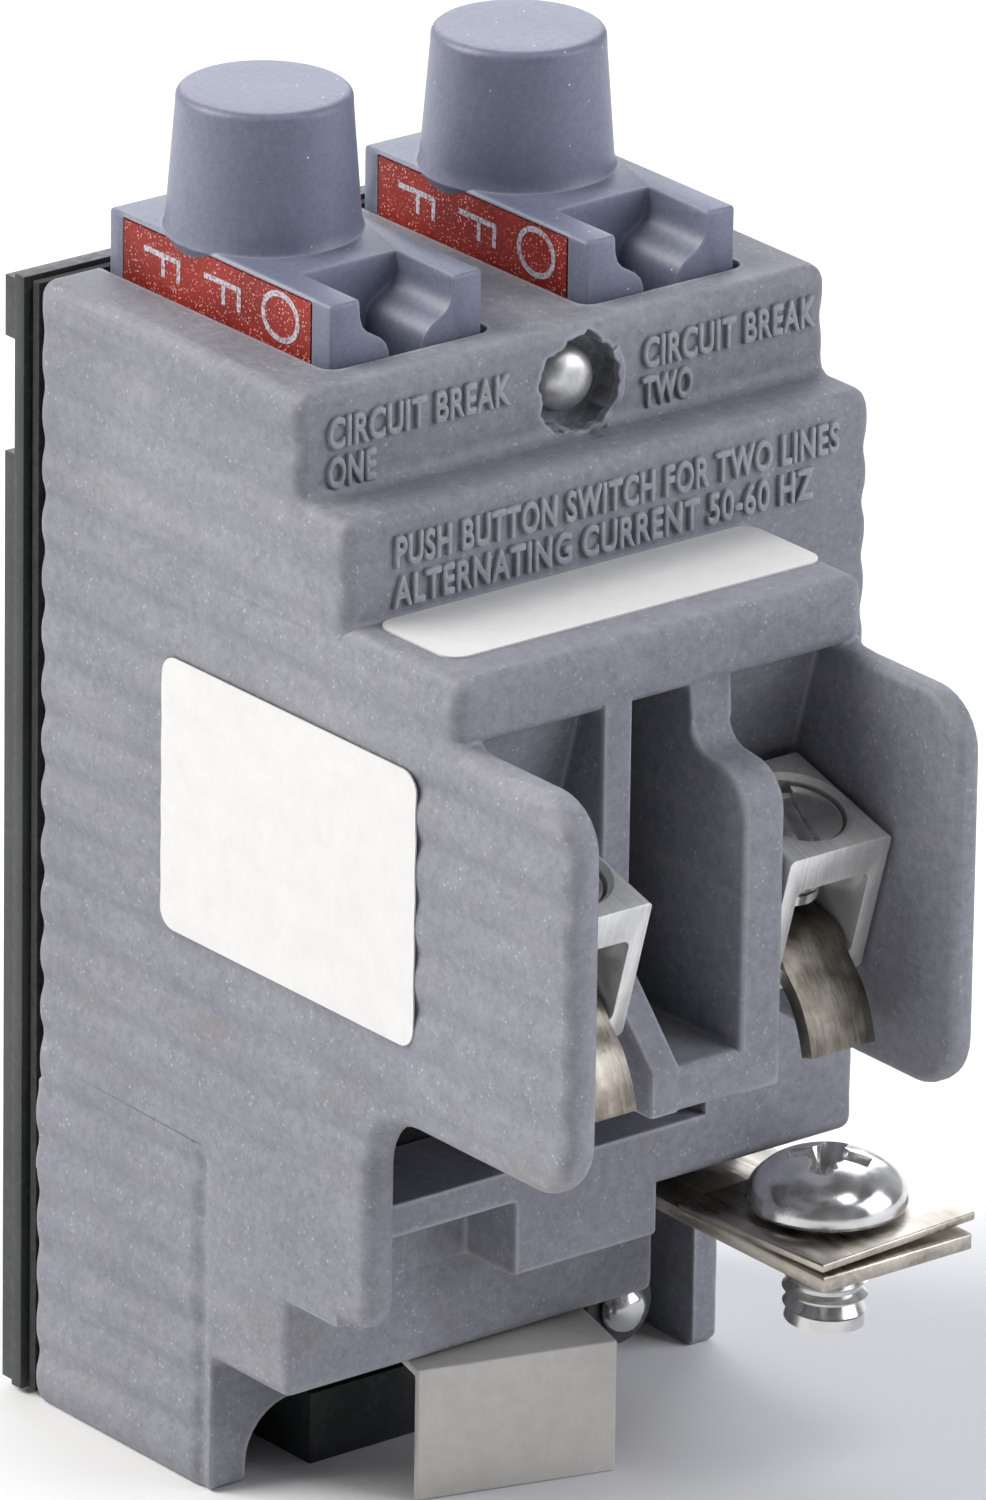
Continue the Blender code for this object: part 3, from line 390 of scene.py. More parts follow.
def node_tree(name, **inputs):
    """An empty geometry tree with named inputs, and the outputs of its group input."""
    made = bpy.data.node_groups.new(name, "GeometryNodeTree")
    made.interface.new_socket("Geometry", in_out="INPUT", socket_type="NodeSocketGeometry")
    for label, value in inputs.items():
        kind = "NodeSocketInt" if isinstance(value, int) else "NodeSocketFloat"
        made.interface.new_socket(label, in_out="INPUT", socket_type=kind).default_value = value
    made.interface.new_socket("Finish", in_out="INPUT", socket_type="NodeSocketMaterial")
    made.interface.new_socket("Geometry", in_out="OUTPUT", socket_type="NodeSocketGeometry")
    return made, add(made, "NodeGroupInput").outputs


def close_tree(tree, geometry, material):
    """End a geometry tree in real geometry with its material."""
    whole = add(tree, "GeometryNodeRealizeInstances", {"Geometry": geometry})
    dressed = add(tree, "GeometryNodeSetMaterial", {"Geometry": whole, "Material": material})
    add(tree, "NodeGroupOutput", {"Geometry": dressed})


# The ribs, and the upright groove beside the base, are waves pressed into the two flat sides. They
# start a little way in from the rounded corners, in a band that deepens outwards.
SIDE_BAND = 0.0009
ribs, given = node_tree("side_ribs", Pitch=PITCH / 1000, Depth=0.0003, Face=RIGHT / 1000 - SIDE_BAND,
                        Groove=0.0003)
spot = add(ribs, "GeometryNodeInputPosition")
parts = add(ribs, "SeparateXYZ", {0: spot}).outputs
phase = add(ribs, "Math.DIVIDE", {0: parts["Z"], 1: given["Pitch"]})
turns = add(ribs, "Math.MULTIPLY", {0: phase, 1: 2 * math.pi})
wave = add(ribs, "Math.COSINE", {0: turns})
lifted = add(ribs, "Math.MULTIPLY_ADD", {0: wave, 1: 0.5, 2: 0.5})
valley = add(ribs, "Math.POWER", {0: lifted, 1: 1.5})
uneven = add(ribs, "TexNoise", {"Vector": spot, "Scale": 0.11 * PER_MM, "Detail": 1.0})
hand = add(ribs, "MapRange", {0: uneven, 1: 0.3, 2: 0.7, 3: 0.55, 4: 1.25})
deep = add(ribs, "Math.MULTIPLY", {0: valley, 1: hand})
sunk = add(ribs, "Math.MULTIPLY", {0: deep, 1: given["Depth"]})
above = add(ribs, "MapRange", {0: parts["Z"], 1: 0.0205, 2: 0.027})
fading = {1: point(0, 16.1, 0).y, 2: point(0, 15.5, 0).y, 3: 0.12, 4: 1.0}
behind = add(ribs, "MapRange", {0: parts["Y"], **fading})
where = add(ribs, "Math.MAXIMUM", {0: above, 1: behind})
plain = add(ribs, "Math.MULTIPLY", {0: given["Depth"], 1: 0.45})
ribbed = add(ribs, "Mix", {0: where, 2: plain, 3: sunk}, data_type="FLOAT")
off_line = add(ribs, "Math.SUBTRACT", {0: parts["Y"], 1: point(0, 16.0, 0).y})
off_size = add(ribs, "Math.ABSOLUTE", {0: off_line})
notch = add(ribs, "MapRange", {0: off_size, 1: 0.0, 2: 0.0008, 3: 1.0, 4: 0.0},
            interpolation_type="SMOOTHSTEP")
below = add(ribs, "MapRange", {0: parts["Z"], 1: 0.0212, 2: 0.0204})
lower = add(ribs, "Math.MULTIPLY", {0: notch, 1: below})
grooved = add(ribs, "Math.MULTIPLY_ADD", {0: lower, 1: given["Groove"], 2: ribbed})
side_of = add(ribs, "Math.SIGN", {0: parts["X"]})
inward = add(ribs, "Math.MULTIPLY", {0: side_of, 1: -1.0})
far = add(ribs, "Math.ABSOLUTE", {0: parts["X"]})
margin = add(ribs, "Math.ADD", {0: given["Face"], 1: SIDE_BAND})
outer = add(ribs, "MapRange", {0: far, 1: given["Face"], 2: margin, 3: 0.35})
scaled = add(ribs, "Math.MULTIPLY", {0: grooved, 1: outer})
shift = add(ribs, "Math.MULTIPLY", {0: scaled, 1: inward})
offset = add(ribs, "CombineXYZ", {"X": shift})
flat = add(ribs, "Math.GREATER_THAN", {0: far, 1: given["Face"]})
moved = add(ribs, "GeometryNodeSetPosition",
            {"Geometry": given["Geometry"], "Selection": flat, "Offset": offset})
close_tree(ribs, moved, given["Finish"])


def run_nodes(piece, tree, **values):
    """Pass a piece through a geometry tree with some of its inputs set, and keep the result."""
    change = piece.modifiers.new(tree.name, "NODES")
    change.node_group = tree
    for item in tree.interface.items_tree:
        if item.in_out == "INPUT" and item.name in values:
            change[item.identifier] = values[item.name]
    return settle(piece)


def rubbed(tree, under, radius, first, most, pale):
    """A paler colour on edges, found by how far rounding them would turn the face."""
    eased = add(tree, "Bevel", {"Radius": radius}, samples=4)
    flat = add(tree, "NewGeometry").outputs["Normal"]
    alike = add(tree, "VectorMath.DOT_PRODUCT", {0: eased, 1: flat})
    worn = add(tree, "MapRange", {0: alike, 1: first, 2: 0.85, 4: most})
    return add(tree, "Mix", {0: worn, 6: under, 7: pale}, data_type="RGBA")


# Grey thermoset moulding compound, matt from the mould's blasted steel. Filler shows as fine light
# flecks, rubbed edges go paler, and dust lies in faint streaks along the ribs. The real grain is
# well under 0.1 mm: it is drawn at 0.4 to 0.7 mm, so that it still shows from a step away.
moulding, tree, shader, place = finish("grey_moulding_compound", 0.58, Specular_IOR_Level=0.42)
broad = add(tree, "TexNoise", {"Vector": place, "Scale": 0.07 * PER_MM, "Detail": 3.0, "Roughness": 0.6})
body = add(tree, "ValToRGB", {"Fac": broad}, ramp=[(0.3, "#85868e"), (0.72, "#95969d")])
cloud = add(tree, "TexNoise", {"Vector": place, "Scale": 1.5 * PER_MM, "Detail": 3.0, "Roughness": 0.75})
mottle = add(tree, "ValToRGB", {"Fac": cloud}, ramp=[(0.28, "#a2a2a9"), (0.72, "#fbfbff")])
mixed = add(tree, "Mix", {0: 0.55, 6: body, 7: mottle}, data_type="RGBA", blend_type="MULTIPLY")
stretch = add(tree, "Mapping", {"Vector": place, "Scale": (1.0, 0.12, 1.0)})
streaks = add(tree, "TexNoise", {"Vector": stretch, "Scale": 0.42 * PER_MM, "Detail": 4.0, "Roughness": 0.65})
dusty = add(tree, "MapRange", {0: streaks, 1: 0.52, 2: 0.8, 4: 0.2})
mixed = add(tree, "Mix", {0: dusty, 6: mixed, 7: "#b0afac"}, data_type="RGBA")
fleck = add(tree, "TexVoronoi", {"Vector": place, "Scale": 2.4 * PER_MM})
grains = add(tree, "MapRange", {0: fleck, 1: 0.1, 2: 0.3, 3: 0.3, 4: 0.0})
sparse = add(tree, "TexNoise", {"Vector": place, "Scale": 0.9 * PER_MM, "Detail": 1.0})
few = add(tree, "MapRange", {0: sparse, 1: 0.48, 2: 0.66, 3: 0.1})
flecks = add(tree, "Math.MULTIPLY", {0: grains, 1: few})
mixed = add(tree, "Mix", {0: flecks, 6: mixed, 7: "#dadade"}, data_type="RGBA")
# Streaky patches turn the grey darker and browner towards the bottom: none above 42 mm, most below 24 mm.
smear = add(tree, "Mapping", {"Vector": place, "Scale": (1.0, 0.3, 1.0)})
smear_noise = add(tree, "TexNoise", {"Vector": smear, "Scale": 0.26 * PER_MM, "Detail": 5.0, "Roughness": 0.7})
thick = add(tree, "MapRange", {0: smear_noise, 1: 0.58, 2: 0.7, 4: 0.5})
levels = add(tree, "SeparateXYZ", {0: place}).outputs["Z"]
low_down = add(tree, "MapRange", {0: levels, 1: 0.042, 2: 0.024})
darker_low = add(tree, "Math.MULTIPLY", {0: thick, 1: low_down})
mixed = add(tree, "Mix", {0: darker_low, 6: mixed, 7: "#7d7368"}, data_type="RGBA")
mixed = rubbed(tree, mixed, 0.00055, 0.995, 0.6, "#bdbec5")
rough = add(tree, "MapRange", {0: cloud, 1: 0.3, 2: 0.7, 3: 0.5, 4: 0.68})
round_normal = add(tree, "Bevel", {"Radius": 0.00022}, samples=4)
skin = add(tree, "Bump", {"Strength": 0.35, "Distance": 0.00012, "Height": cloud, "Normal": round_normal})
waves = add(tree, "Bump", {"Strength": 0.3, "Distance": 0.0004, "Height": broad, "Normal": skin})
plug(shader, {"Base Color": mixed, "Roughness": rough, "Normal": waves})

run_nodes(case, ribs, Finish=moulding)


def shade(piece, angle=35):
    """Smooth shading that keeps the sharp edges."""
    piece.data.shade_smooth()
    piece.data.set_sharp_from_angle(angle=math.radians(angle))
    return piece


shade(case, 40)
even = case.modifiers.new("even_light", "WEIGHTED_NORMAL")
even.keep_sharp = True
settle(case)
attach(case, "case")
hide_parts("housing")

# The drill left a torn lip on the right of the hole, standing off the face.
work = bmesh.new()
lip = []
for i in range(33):
    turn = math.radians(-115 + 150 * i / 32)
    thin = 0.12 + 0.1 * abs(math.sin(7 * turn + 1)) + 0.06 * math.sin(19 * turn)
    out = 0.1 + 0.22 * abs(math.sin(5 * turn + 0.4)) * math.sin(math.pi * i / 32)
    section = ((2.95 - thin, 24.1), (2.9 - thin, 24.5 + out), (3.12, 24.52 + out), (3.32, 24.42))
    lip.append([work.verts.new(point(RIVET_X + reach * math.cos(turn), depth, RIVET_Z + reach * math.sin(turn)))
                for reach, depth in section])
for one, two in zip(lip, lip[1:]):
    for k in range(4):
        work.faces.new((one[k], one[(k + 1) % 4], two[(k + 1) % 4], two[k]))
work.faces.new(lip[0][::-1])
work.faces.new(lip[-1])
bmesh.ops.recalc_face_normals(work, faces=work.faces)
torn = mesh_object("torn_lip", work)
shade(torn, 50)
coat(torn, moulding)
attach(torn, "case")

# Raised lettering stands about 0.3 mm off the two front faces: it was engraved into the mould.


def set_type(words, size, thick, **settings):
    """Words as a mesh that lies on the origin, size and thickness in metres."""
    text = bpy.data.curves.new("words", "FONT")
    for name, value in {"body": words, "size": size, "extrude": thick, **settings}.items():
        setattr(text, name, value)
    made = bpy.data.objects.new("words", text)
    scene.collection.objects.link(made)
    bpy.context.view_layer.update()
    data = bpy.data.meshes.new_from_object(made.evaluated_get(bpy.context.evaluated_depsgraph_get()))
    bpy.data.objects.remove(made, do_unlink=True)
    return data


def lettering(words, x, depth, height, length):
    """Raised capitals on a face that looks forwards, from their lower left corner, to a length."""
    data = set_type(words, 0.0025, 0.00016, bevel_depth=0.00008, bevel_resolution=1, offset=0.00001,
                    space_character=1.1)
    squeeze = length / 1000 / max(v.co.x for v in data.vertices)
    data.transform(Matrix.Translation(point(x, depth, height)) @ Matrix.Rotation(math.pi / 2, 4, "X")
                   @ Matrix.Diagonal((squeeze, 1, 1, 1)))
    return data


def together(name, meshes):
    """Several meshes as one object."""
    work = bmesh.new()
    for data in meshes:
        work.from_mesh(data)
        bpy.data.meshes.remove(data)
    return mesh_object(name, work)


lines = [("CIRCUIT BREAK", -17.1, 24.55, 66.2, 13.0), ("ONE", -17.1, 24.55, 63.85, 3.4),
         ("CIRCUIT BREAK", 5.4, 24.55, 66.2, 12.6), ("TWO", 5.4, 24.55, 63.85, 3.6),
         ("PUSH BUTTON SWITCH FOR TWO LINES", -15.6, 28.8, 60.15, 32.0),
         ("ALTERNATING CURRENT 50-60 HZ", -15.6, 28.8, 57.75, 30.2)]
letters = together("raised_lettering", [lettering(*line) for line in lines])
coat(letters, moulding)
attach(letters, "case")

# ------------------------------------------------------------------ push-buttons
# Each button is one harder, bluer moulding: a block that slides in the case, a tapered round cap
# pressed by the finger, and at the front two legs round a rolled saddle for a screwdriver tip.

# Blue-grey urea moulding from a polished mould: a soft sheen, with pale filler chips of about 0.1 mm
# scattered through it and paler rubbed edges. Its fine grain is drawn at 0.4 mm, coarser than real.
button_moulding, tree, shader, place = finish("blue_grey_moulding", 0.42, Specular_IOR_Level=0.5)
broad = add(tree, "TexNoise", {"Vector": place, "Scale": 0.16 * PER_MM, "Detail": 3.0})
fine = add(tree, "TexNoise", {"Vector": place, "Scale": 2.6 * PER_MM, "Detail": 2.0, "Roughness": 0.7})
body = add(tree, "ValToRGB", {"Fac": broad}, ramp=[(0.3, "#6d7184"), (0.7, "#787c8f")])
speck = add(tree, "ValToRGB", {"Fac": fine}, ramp=[(0.28, "#bfc0c8"), (0.72, "#ffffff")])
mixed = add(tree, "Mix", {0: 0.45, 6: body, 7: speck}, data_type="RGBA", blend_type="MULTIPLY")
cells = add(tree, "TexVoronoi", {"Vector": place, "Scale": 0.7 * PER_MM})
chips = add(tree, "MapRange", {0: cells, 1: 0.02, 2: 0.06, 3: 0.8, 4: 0.0})
mixed = add(tree, "Mix", {0: chips, 6: mixed, 7: "#e6e8ee"}, data_type="RGBA")
mixed = rubbed(tree, mixed, 0.0004, 0.99, 0.4, "#b9bdc9")
round_normal = add(tree, "Bevel", {"Radius": 0.00014}, samples=4)
skin = add(tree, "Bump", {"Strength": 0.16, "Distance": 0.00008, "Height": fine, "Normal": round_normal})
plug(shader, {"Base Color": mixed, "Normal": skin})


def turned(name, profile, x, depth, sides=64):
    """A solid turned about an upright line, from (radius, height) points, top to bottom."""
    work = bmesh.new()
    rings = []
    for radius, height in profile:
        if radius == 0:
            rings.append([work.verts.new(point(x, depth, height))])
            continue
        turns = [2 * math.pi * i / sides for i in range(sides)]
        rings.append([work.verts.new(point(x + radius * math.cos(a), depth + radius * math.sin(a), height))
                      for a in turns])
    for one, two in zip(rings, rings[1:]):
        for i in range(sides):
            j = (i + 1) % sides
            corners = [one[i % len(one)], one[j % len(one)], two[j % len(two)], two[i % len(two)]]
            work.faces.new(list(dict.fromkeys(corners)))
    bmesh.ops.recalc_face_normals(work, faces=work.faces)
    return mesh_object(name, work)


rim = [(4.52 + 0.55 * math.sin(a), 80.87 + 0.55 * math.cos(a)) for a in map(math.radians, range(0, 86, 12))]
cap_profile = [(0, 81.46), (3.0, 81.47), (4.3, 81.44)] + rim + [
    (5.1, 80.2), (5.58, 74.0), (5.62, 73.6), (5.72, 73.36), (5.8, 73.1), (5.4, 72.4), (0, 72.4)]
# Inside the finger pocket each leg swells out at its foot in a soft step, with a dark slit between.
leg_line = [(3.35, 75.0), (3.35, 73.2), (3.28, 72.1), (3.1, 71.55), (2.75, 71.15), (2.3, 70.9),
            (1.8, 70.6), (1.42, 70.2), (1.22, 69.7), (1.15, 69.0), (1.15, 63.0)]
for pole, side in (("a", -1), ("b", 1)):
    x = side * BUTTON_OUT
    button = block("push_button_" + pole, (x - 5.4, 0.8, 65.1), (x + 5.4, 21.5, 73.2), 0.2, 2)
    pocket = [(x + u, v) for u, v in leg_line] + [(x - u, v) for u, v in reversed(leg_line)]
    carve(button, [slab("pocket", pocket, 16.1, 23.0, "front"),
                   block("flag_seat", (x - 6.5, 2.15, 69.15), (x - 5.08, 19.75, 73.0))])
    round_over(button, 0.09, 2, 40)
    reach = sorted((x + side * 4.9, x + side * 6.3))
    carve(button, [turned("cap", cap_profile, x, 8.2), barrel("stem", 1.5, (x, 8.2, 55.2), (x, 8.2, 66.0)),
                   block("lip", (reach[0], 3, 65.1), (reach[1], 18, 67.0))], "UNION")
    shade(button)
    coat(button, button_moulding)
    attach(button, "button_" + pole)
    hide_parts("button_" + pole)

# ------------------------------------------------------------------ off flags
# A red film is hot-stamped on the left side of each block, pitted where it missed the grain, and
# the word is stamped over it in grey, letter above letter, so it reads with the breaker on its side.

# Red stamping foil, pressed on hot: flat strong colour, with pale pits of about 0.2 mm where the
# rough side below it was not reached. The pits are drawn a little coarser than real.
red, tree, shader, place = finish("red_stamped_film", 0.55, Specular_IOR_Level=0.4)
cells = add(tree, "TexVoronoi", {"Vector": place, "Scale": 4.6 * PER_MM, "Randomness": 1.0})
pits = add(tree, "MapRange", {0: cells, 1: 0.18, 2: 0.34, 3: 1.0, 4: 0.0})
patches = add(tree, "TexNoise", {"Vector": place, "Scale": 0.9 * PER_MM, "Detail": 3.0})
kept = add(tree, "MapRange", {0: patches, 1: 0.36, 2: 0.58, 3: 0.12})
bare = add(tree, "Math.MULTIPLY", {0: pits, 1: kept})
broad = add(tree, "TexNoise", {"Vector": place, "Scale": 0.26 * PER_MM, "Detail": 3.0})
film = add(tree, "ValToRGB", {"Fac": broad}, ramp=[(0.3, "#7a1a12"), (0.7, "#992d22")])
mixed = add(tree, "Mix", {0: bare, 6: film, 7: "#d8a79f"}, data_type="RGBA")
skin = add(tree, "Bump", {"Strength": 0.3, "Distance": 0.00005, "Height": pits})
plug(shader, {"Base Color": mixed, "Normal": skin})


def grained(name, roughness, metallic, cells, ramp, detail=3.0, uneven=0.5, bump=0.0, deep=0.0001,
            shine=None, **sockets):
    """A finish tinted by one grain of so many cells to a mm, which may raise it or vary its shine."""
    made, tree, shader, place = finish(name, roughness, metallic, **sockets)
    grain = add(tree, "TexNoise",
                {"Vector": place, "Scale": cells * PER_MM, "Detail": detail, "Roughness": uneven})
    plug(shader, {"Base Color": add(tree, "ValToRGB", {"Fac": grain}, ramp)})
    if shine:
        spread = add(tree, "MapRange", {0: grain, 1: 0.35, 2: 0.75, 3: shine[0], 4: shine[1]})
        plug(shader, {"Roughness": spread})
    if bump:
        skin = add(tree, "Bump", {"Strength": bump, "Distance": deep, "Height": grain})
        plug(shader, {"Normal": skin})
    return made


# Grey stamping foil over the red: a flat pale film with 0.2 mm gaps that the red shows through.
stamp = grained("grey_stamped_film", 0.55, 0.0, 5.2,
                [(0.36, "#96605e"), (0.46, "#a9abb6"), (0.7, "#c9ccd6")], 2.0)

for pole, side in (("a", -1), ("b", 1)):
    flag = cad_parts["off_flag_" + pole]
    coat(flag, red)
    low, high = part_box("off_flag_" + pole)
    stamped = []
    for letter, depth in (("F", 5.65), ("F", 11.3), ("O", 16.7)):
        data = set_type(letter, 0.0052, 0.00002, offset=-0.00006, align_x="CENTER", align_y="CENTER")
        spot = point(0, depth, 0)
        spot.x = low.x - 0.00001
        spot.z = (low.z + high.z) / 2 + 0.0002
        turn = Matrix(((0, 0, -1, 0), (0, -1, 0, 0), (-0.82, 0, 0, 0), (0, 0, 0, 1)))
        data.transform(Matrix.Translation(spot) @ turn)
        stamped.append(data)
    word = together("off_word_" + pole, stamped)
    work = bmesh.new()
    work.from_mesh(word.data)
    bmesh.ops.remove_doubles(work, verts=work.verts, dist=1e-7)
    bmesh.ops.recalc_face_normals(work, faces=work.faces)
    work.to_mesh(word.data)
    work.free()
    coat(word, stamp)
    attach(word, "button_" + pole)

# ------------------------------------------------------------------ rear cover, liner and rail foot
# The back is closed by a black phenolic cover over a dark fibre sheet; the foot under the base is
# the same phenolic, and takes the lower rivet through its boss.


def copy_of(node, name):
    """A welded copy of a CAD node's mesh, with its flat faces whole again."""
    work = bmesh.new()
    work.from_mesh(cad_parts[node].data)
    bmesh.ops.remove_doubles(work, verts=work.verts, dist=2e-6)
    bmesh.ops.dissolve_limit(work, angle_limit=math.radians(1.0), verts=work.verts, edges=work.edges)
    return mesh_object(name, work)


def stand_in(node, name, body, material, soft, steps=2, angle=35):
    """A CAD node's shape with its edges eased and a real finish, in that node's place."""
    made = round_over(copy_of(node, name), soft, steps, angle)
    shade(made)
    coat(made, material)
    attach(made, body)
    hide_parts(node)
    return made


# Black phenolic, pressed and wiped: near black with a half gloss, and an ashy bloom in cells of
# about 0.5 mm, coarser than its real wood-flour grain.
phenolic, tree, shader, place = finish("black_phenolic_moulding", 0.42, Specular_IOR_Level=0.5)
fine = add(tree, "TexNoise", {"Vector": place, "Scale": 1.9 * PER_MM, "Detail": 3.0})
broad = add(tree, "TexNoise", {"Vector": place, "Scale": 0.12 * PER_MM, "Detail": 3.0})
body = add(tree, "ValToRGB", {"Fac": broad}, ramp=[(0.3, "#222425"), (0.75, "#363a3a")])
ash = add(tree, "MapRange", {0: fine, 1: 0.55, 2: 0.8, 4: 0.35})
mixed = add(tree, "Mix", {0: ash, 6: body, 7: "#5a5e5e"}, data_type="RGBA")
rough = add(tree, "MapRange", {0: fine, 1: 0.3, 2: 0.7, 3: 0.34, 4: 0.56})
skin = add(tree, "Bump", {"Strength": 0.2, "Distance": 0.00008, "Height": fine})
plug(shader, {"Base Color": mixed, "Roughness": rough, "Normal": skin})

# Vulcanised fibre, rolled into sheet and cut: flat and dark, with a felted grain drawn at 0.7 mm.
fibre = grained("vulcanised_fibre_sheet", 0.8, 0.0, 1.4, [(0.3, "#161617"), (0.75, "#313133")], 4.0, 0.7, 0.3)

stand_in("rear_cover", "moulded_rear_cover", "case", phenolic, 0.3, 3)
stand_in("rear_liner", "fibre_liner", "case", fibre, 0.08, 1)
stand_in("rail_foot", "moulded_rail_foot", "case", phenolic, 0.3, 3)
for node in ("pole_partition", "vent_screen_a", "vent_screen_b"):
    coat(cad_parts[node], fibre)

# ------------------------------------------------------------------ labels
# Two blank labels of coated paper, die-cut with round corners and stuck on by their gummed backs.
# The side one is pressed onto the ribs and follows them faintly; the other lies on the flat tread.

# Clay-coated paper, rolled smooth: white and half matt, with the clouds of its pulp, 1.4 mm wide.
paper = grained("coated_label_paper", 0.5, 0.0, 0.7, [(0.3, "#d3d3d3"), (0.7, "#dadad9")], 5.0, 0.7, 0.12,
                Specular_IOR_Level=0.35)


def die_cut(left, right, low, high, radius=1.2):
    """Outline of a rectangle with round corners."""
    sides = ((left + radius, low + radius), (right - radius, low + radius),
             (right - radius, high - radius), (left + radius, high - radius))
    turns = (180, 270, 0, 90)
    return [spot for centre, turn in zip(sides, turns) for spot in bend(centre, radius, turn, turn + 90)]


side_label = slab("side_label_sheet", die_cut(12.1, 35.6, 34.0, 50.6), LEFT - 0.09, LEFT + 0.01)
slice_faces(side_label, [k * PITCH / 8000 for k in range(60, 125)], 2, lambda face: True)
run_nodes(side_label, ribs, Finish=paper, Depth=0.00005, Face=RIGHT / 1000 - 0.001, Groove=0.0)
shade(side_label)
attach(side_label, "case")
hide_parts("side_label")
tread = die_cut(LEFT + 2.0, BLOCK_RIGHT - 0.4, 28.95, 36.0)
tread_label = slab("tread_label_sheet", tread, 57.04, 57.16, "plan")
coat(tread_label, paper)
shade(tread_label)
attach(tread_label, "case")
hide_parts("tread_label")

# ------------------------------------------------------------------ lugs and their set screws
# Each lug is a slice of extruded aluminium box, sawn at its two open ends and drilled and tapped
# through its thick roof for a slotted steel set screw. It sits tilted, roof forwards.

# Extruded aluminium, sawn and tumbled: a pale grey half shine with saw lines across it and duller
# blotches. The lines are drawn 0.2 mm apart, coarser than the saw's.
aluminium, tree, shader, place = finish("sawn_aluminium_extrusion", 0.36, 0.65)
saw = add(tree, "Mapping", {"Vector": place, "Scale": (1.0, 0.05, 0.05)})
saw_lines = add(tree, "TexNoise", {"Vector": saw, "Scale": 5.2 * PER_MM, "Detail": 3.0, "Roughness": 0.7})
blotch = add(tree, "TexNoise", {"Vector": place, "Scale": 0.5 * PER_MM, "Detail": 4.0})
body = add(tree, "ValToRGB", {"Fac": saw_lines}, ramp=[(0.3, "#c2c2c1"), (0.7, "#f2f2f1")])
mixed = add(tree, "Mix", {0: 0.5, 6: body, 7: "#e6e6e4"}, data_type="RGBA")
dark = add(tree, "MapRange", {0: blotch, 1: 0.58, 2: 0.75, 4: 0.3})
mixed = add(tree, "Mix", {0: dark, 6: mixed, 7: "#8e8e8b"}, data_type="RGBA")
rough = add(tree, "MapRange", {0: blotch, 1: 0.3, 2: 0.7, 3: 0.3, 4: 0.48})
skin = add(tree, "Bump", {"Strength": 0.35, "Distance": 0.00006, "Height": saw_lines})
dents = add(tree, "Bump", {"Strength": 0.3, "Distance": 0.0002, "Height": blotch, "Normal": skin})
plug(shader, {"Base Color": mixed, "Roughness": rough, "Normal": dents})

# Steel under bright zinc plate: clear reflections, broken by cloudy patches about 1.2 mm wide.
zinc = grained("bright_zinc_plate", 0.22, 0.8, 0.8, [(0.3, "#c4c4c2"), (0.7, "#e6e6e5")], 4.0, bump=0.15,
               deep=0.00008, shine=(0.12, 0.3))

# Every screw's thread is the same three-sided ridge wound round its shank.
thread, given = node_tree("screw_thread", Radius=0.0024, Length=0.005, Turns=5.0, Ridge=0.0004, Sides=3)
path = add(thread, "GeometryNodeCurveSpiral",
           {"Resolution": 40, "Rotations": given["Turns"], "Start Radius": given["Radius"],
            "End Radius": given["Radius"], "Height": given["Length"]})
shape = add(thread, "GeometryNodeCurvePrimitiveCircle",
            {"Resolution": given["Sides"], "Radius": given["Ridge"]})
swept = add(thread, "GeometryNodeCurveToMesh", {"Curve": path, "Profile Curve": shape, "Fill Caps": True})
both = add(thread, "GeometryNodeJoinGeometry", {0: swept})
plug(both, {0: given["Geometry"]})
close_tree(thread, both, given["Finish"])


def bar(name, radius, length, centre, sides=48, end_radius=None):
    """An upright round bar about the origin, sizes in metres."""
    work = bmesh.new()
    bmesh.ops.create_cone(work, cap_ends=True, segments=sides, radius1=radius,
                          radius2=radius if end_radius is None else end_radius, depth=length)
    bmesh.ops.translate(work, vec=centre, verts=work.verts)
    return mesh_object(name, work)


def absorb(piece, extra):
    """Take another piece into this one's mesh."""
    work = bmesh.new()
    work.from_mesh(piece.data)
    work.from_mesh(extra.data)
    work.to_mesh(piece.data)
    work.free()
    bpy.data.objects.remove(extra, do_unlink=True)


def wound(name, radius, length, turns, ridge, material):
    """A threaded shank of that size, upright on the origin."""
    made = bar(name, radius / 1000, length / 1000, (0, 0, length / 2000), 40)
    return run_nodes(made, thread, Radius=radius / 1000, Length=length / 1000, Turns=float(turns),
                     Ridge=ridge / 1000, Finish=material)


def lug_axes(x):
    """The lug's own frame: X across, Y back, Z up along its walls, at its top front edge."""
    return Matrix.Translation(point(x, *tongue_line(0, 0))) @ Matrix.Rotation(lean, 4, "X")


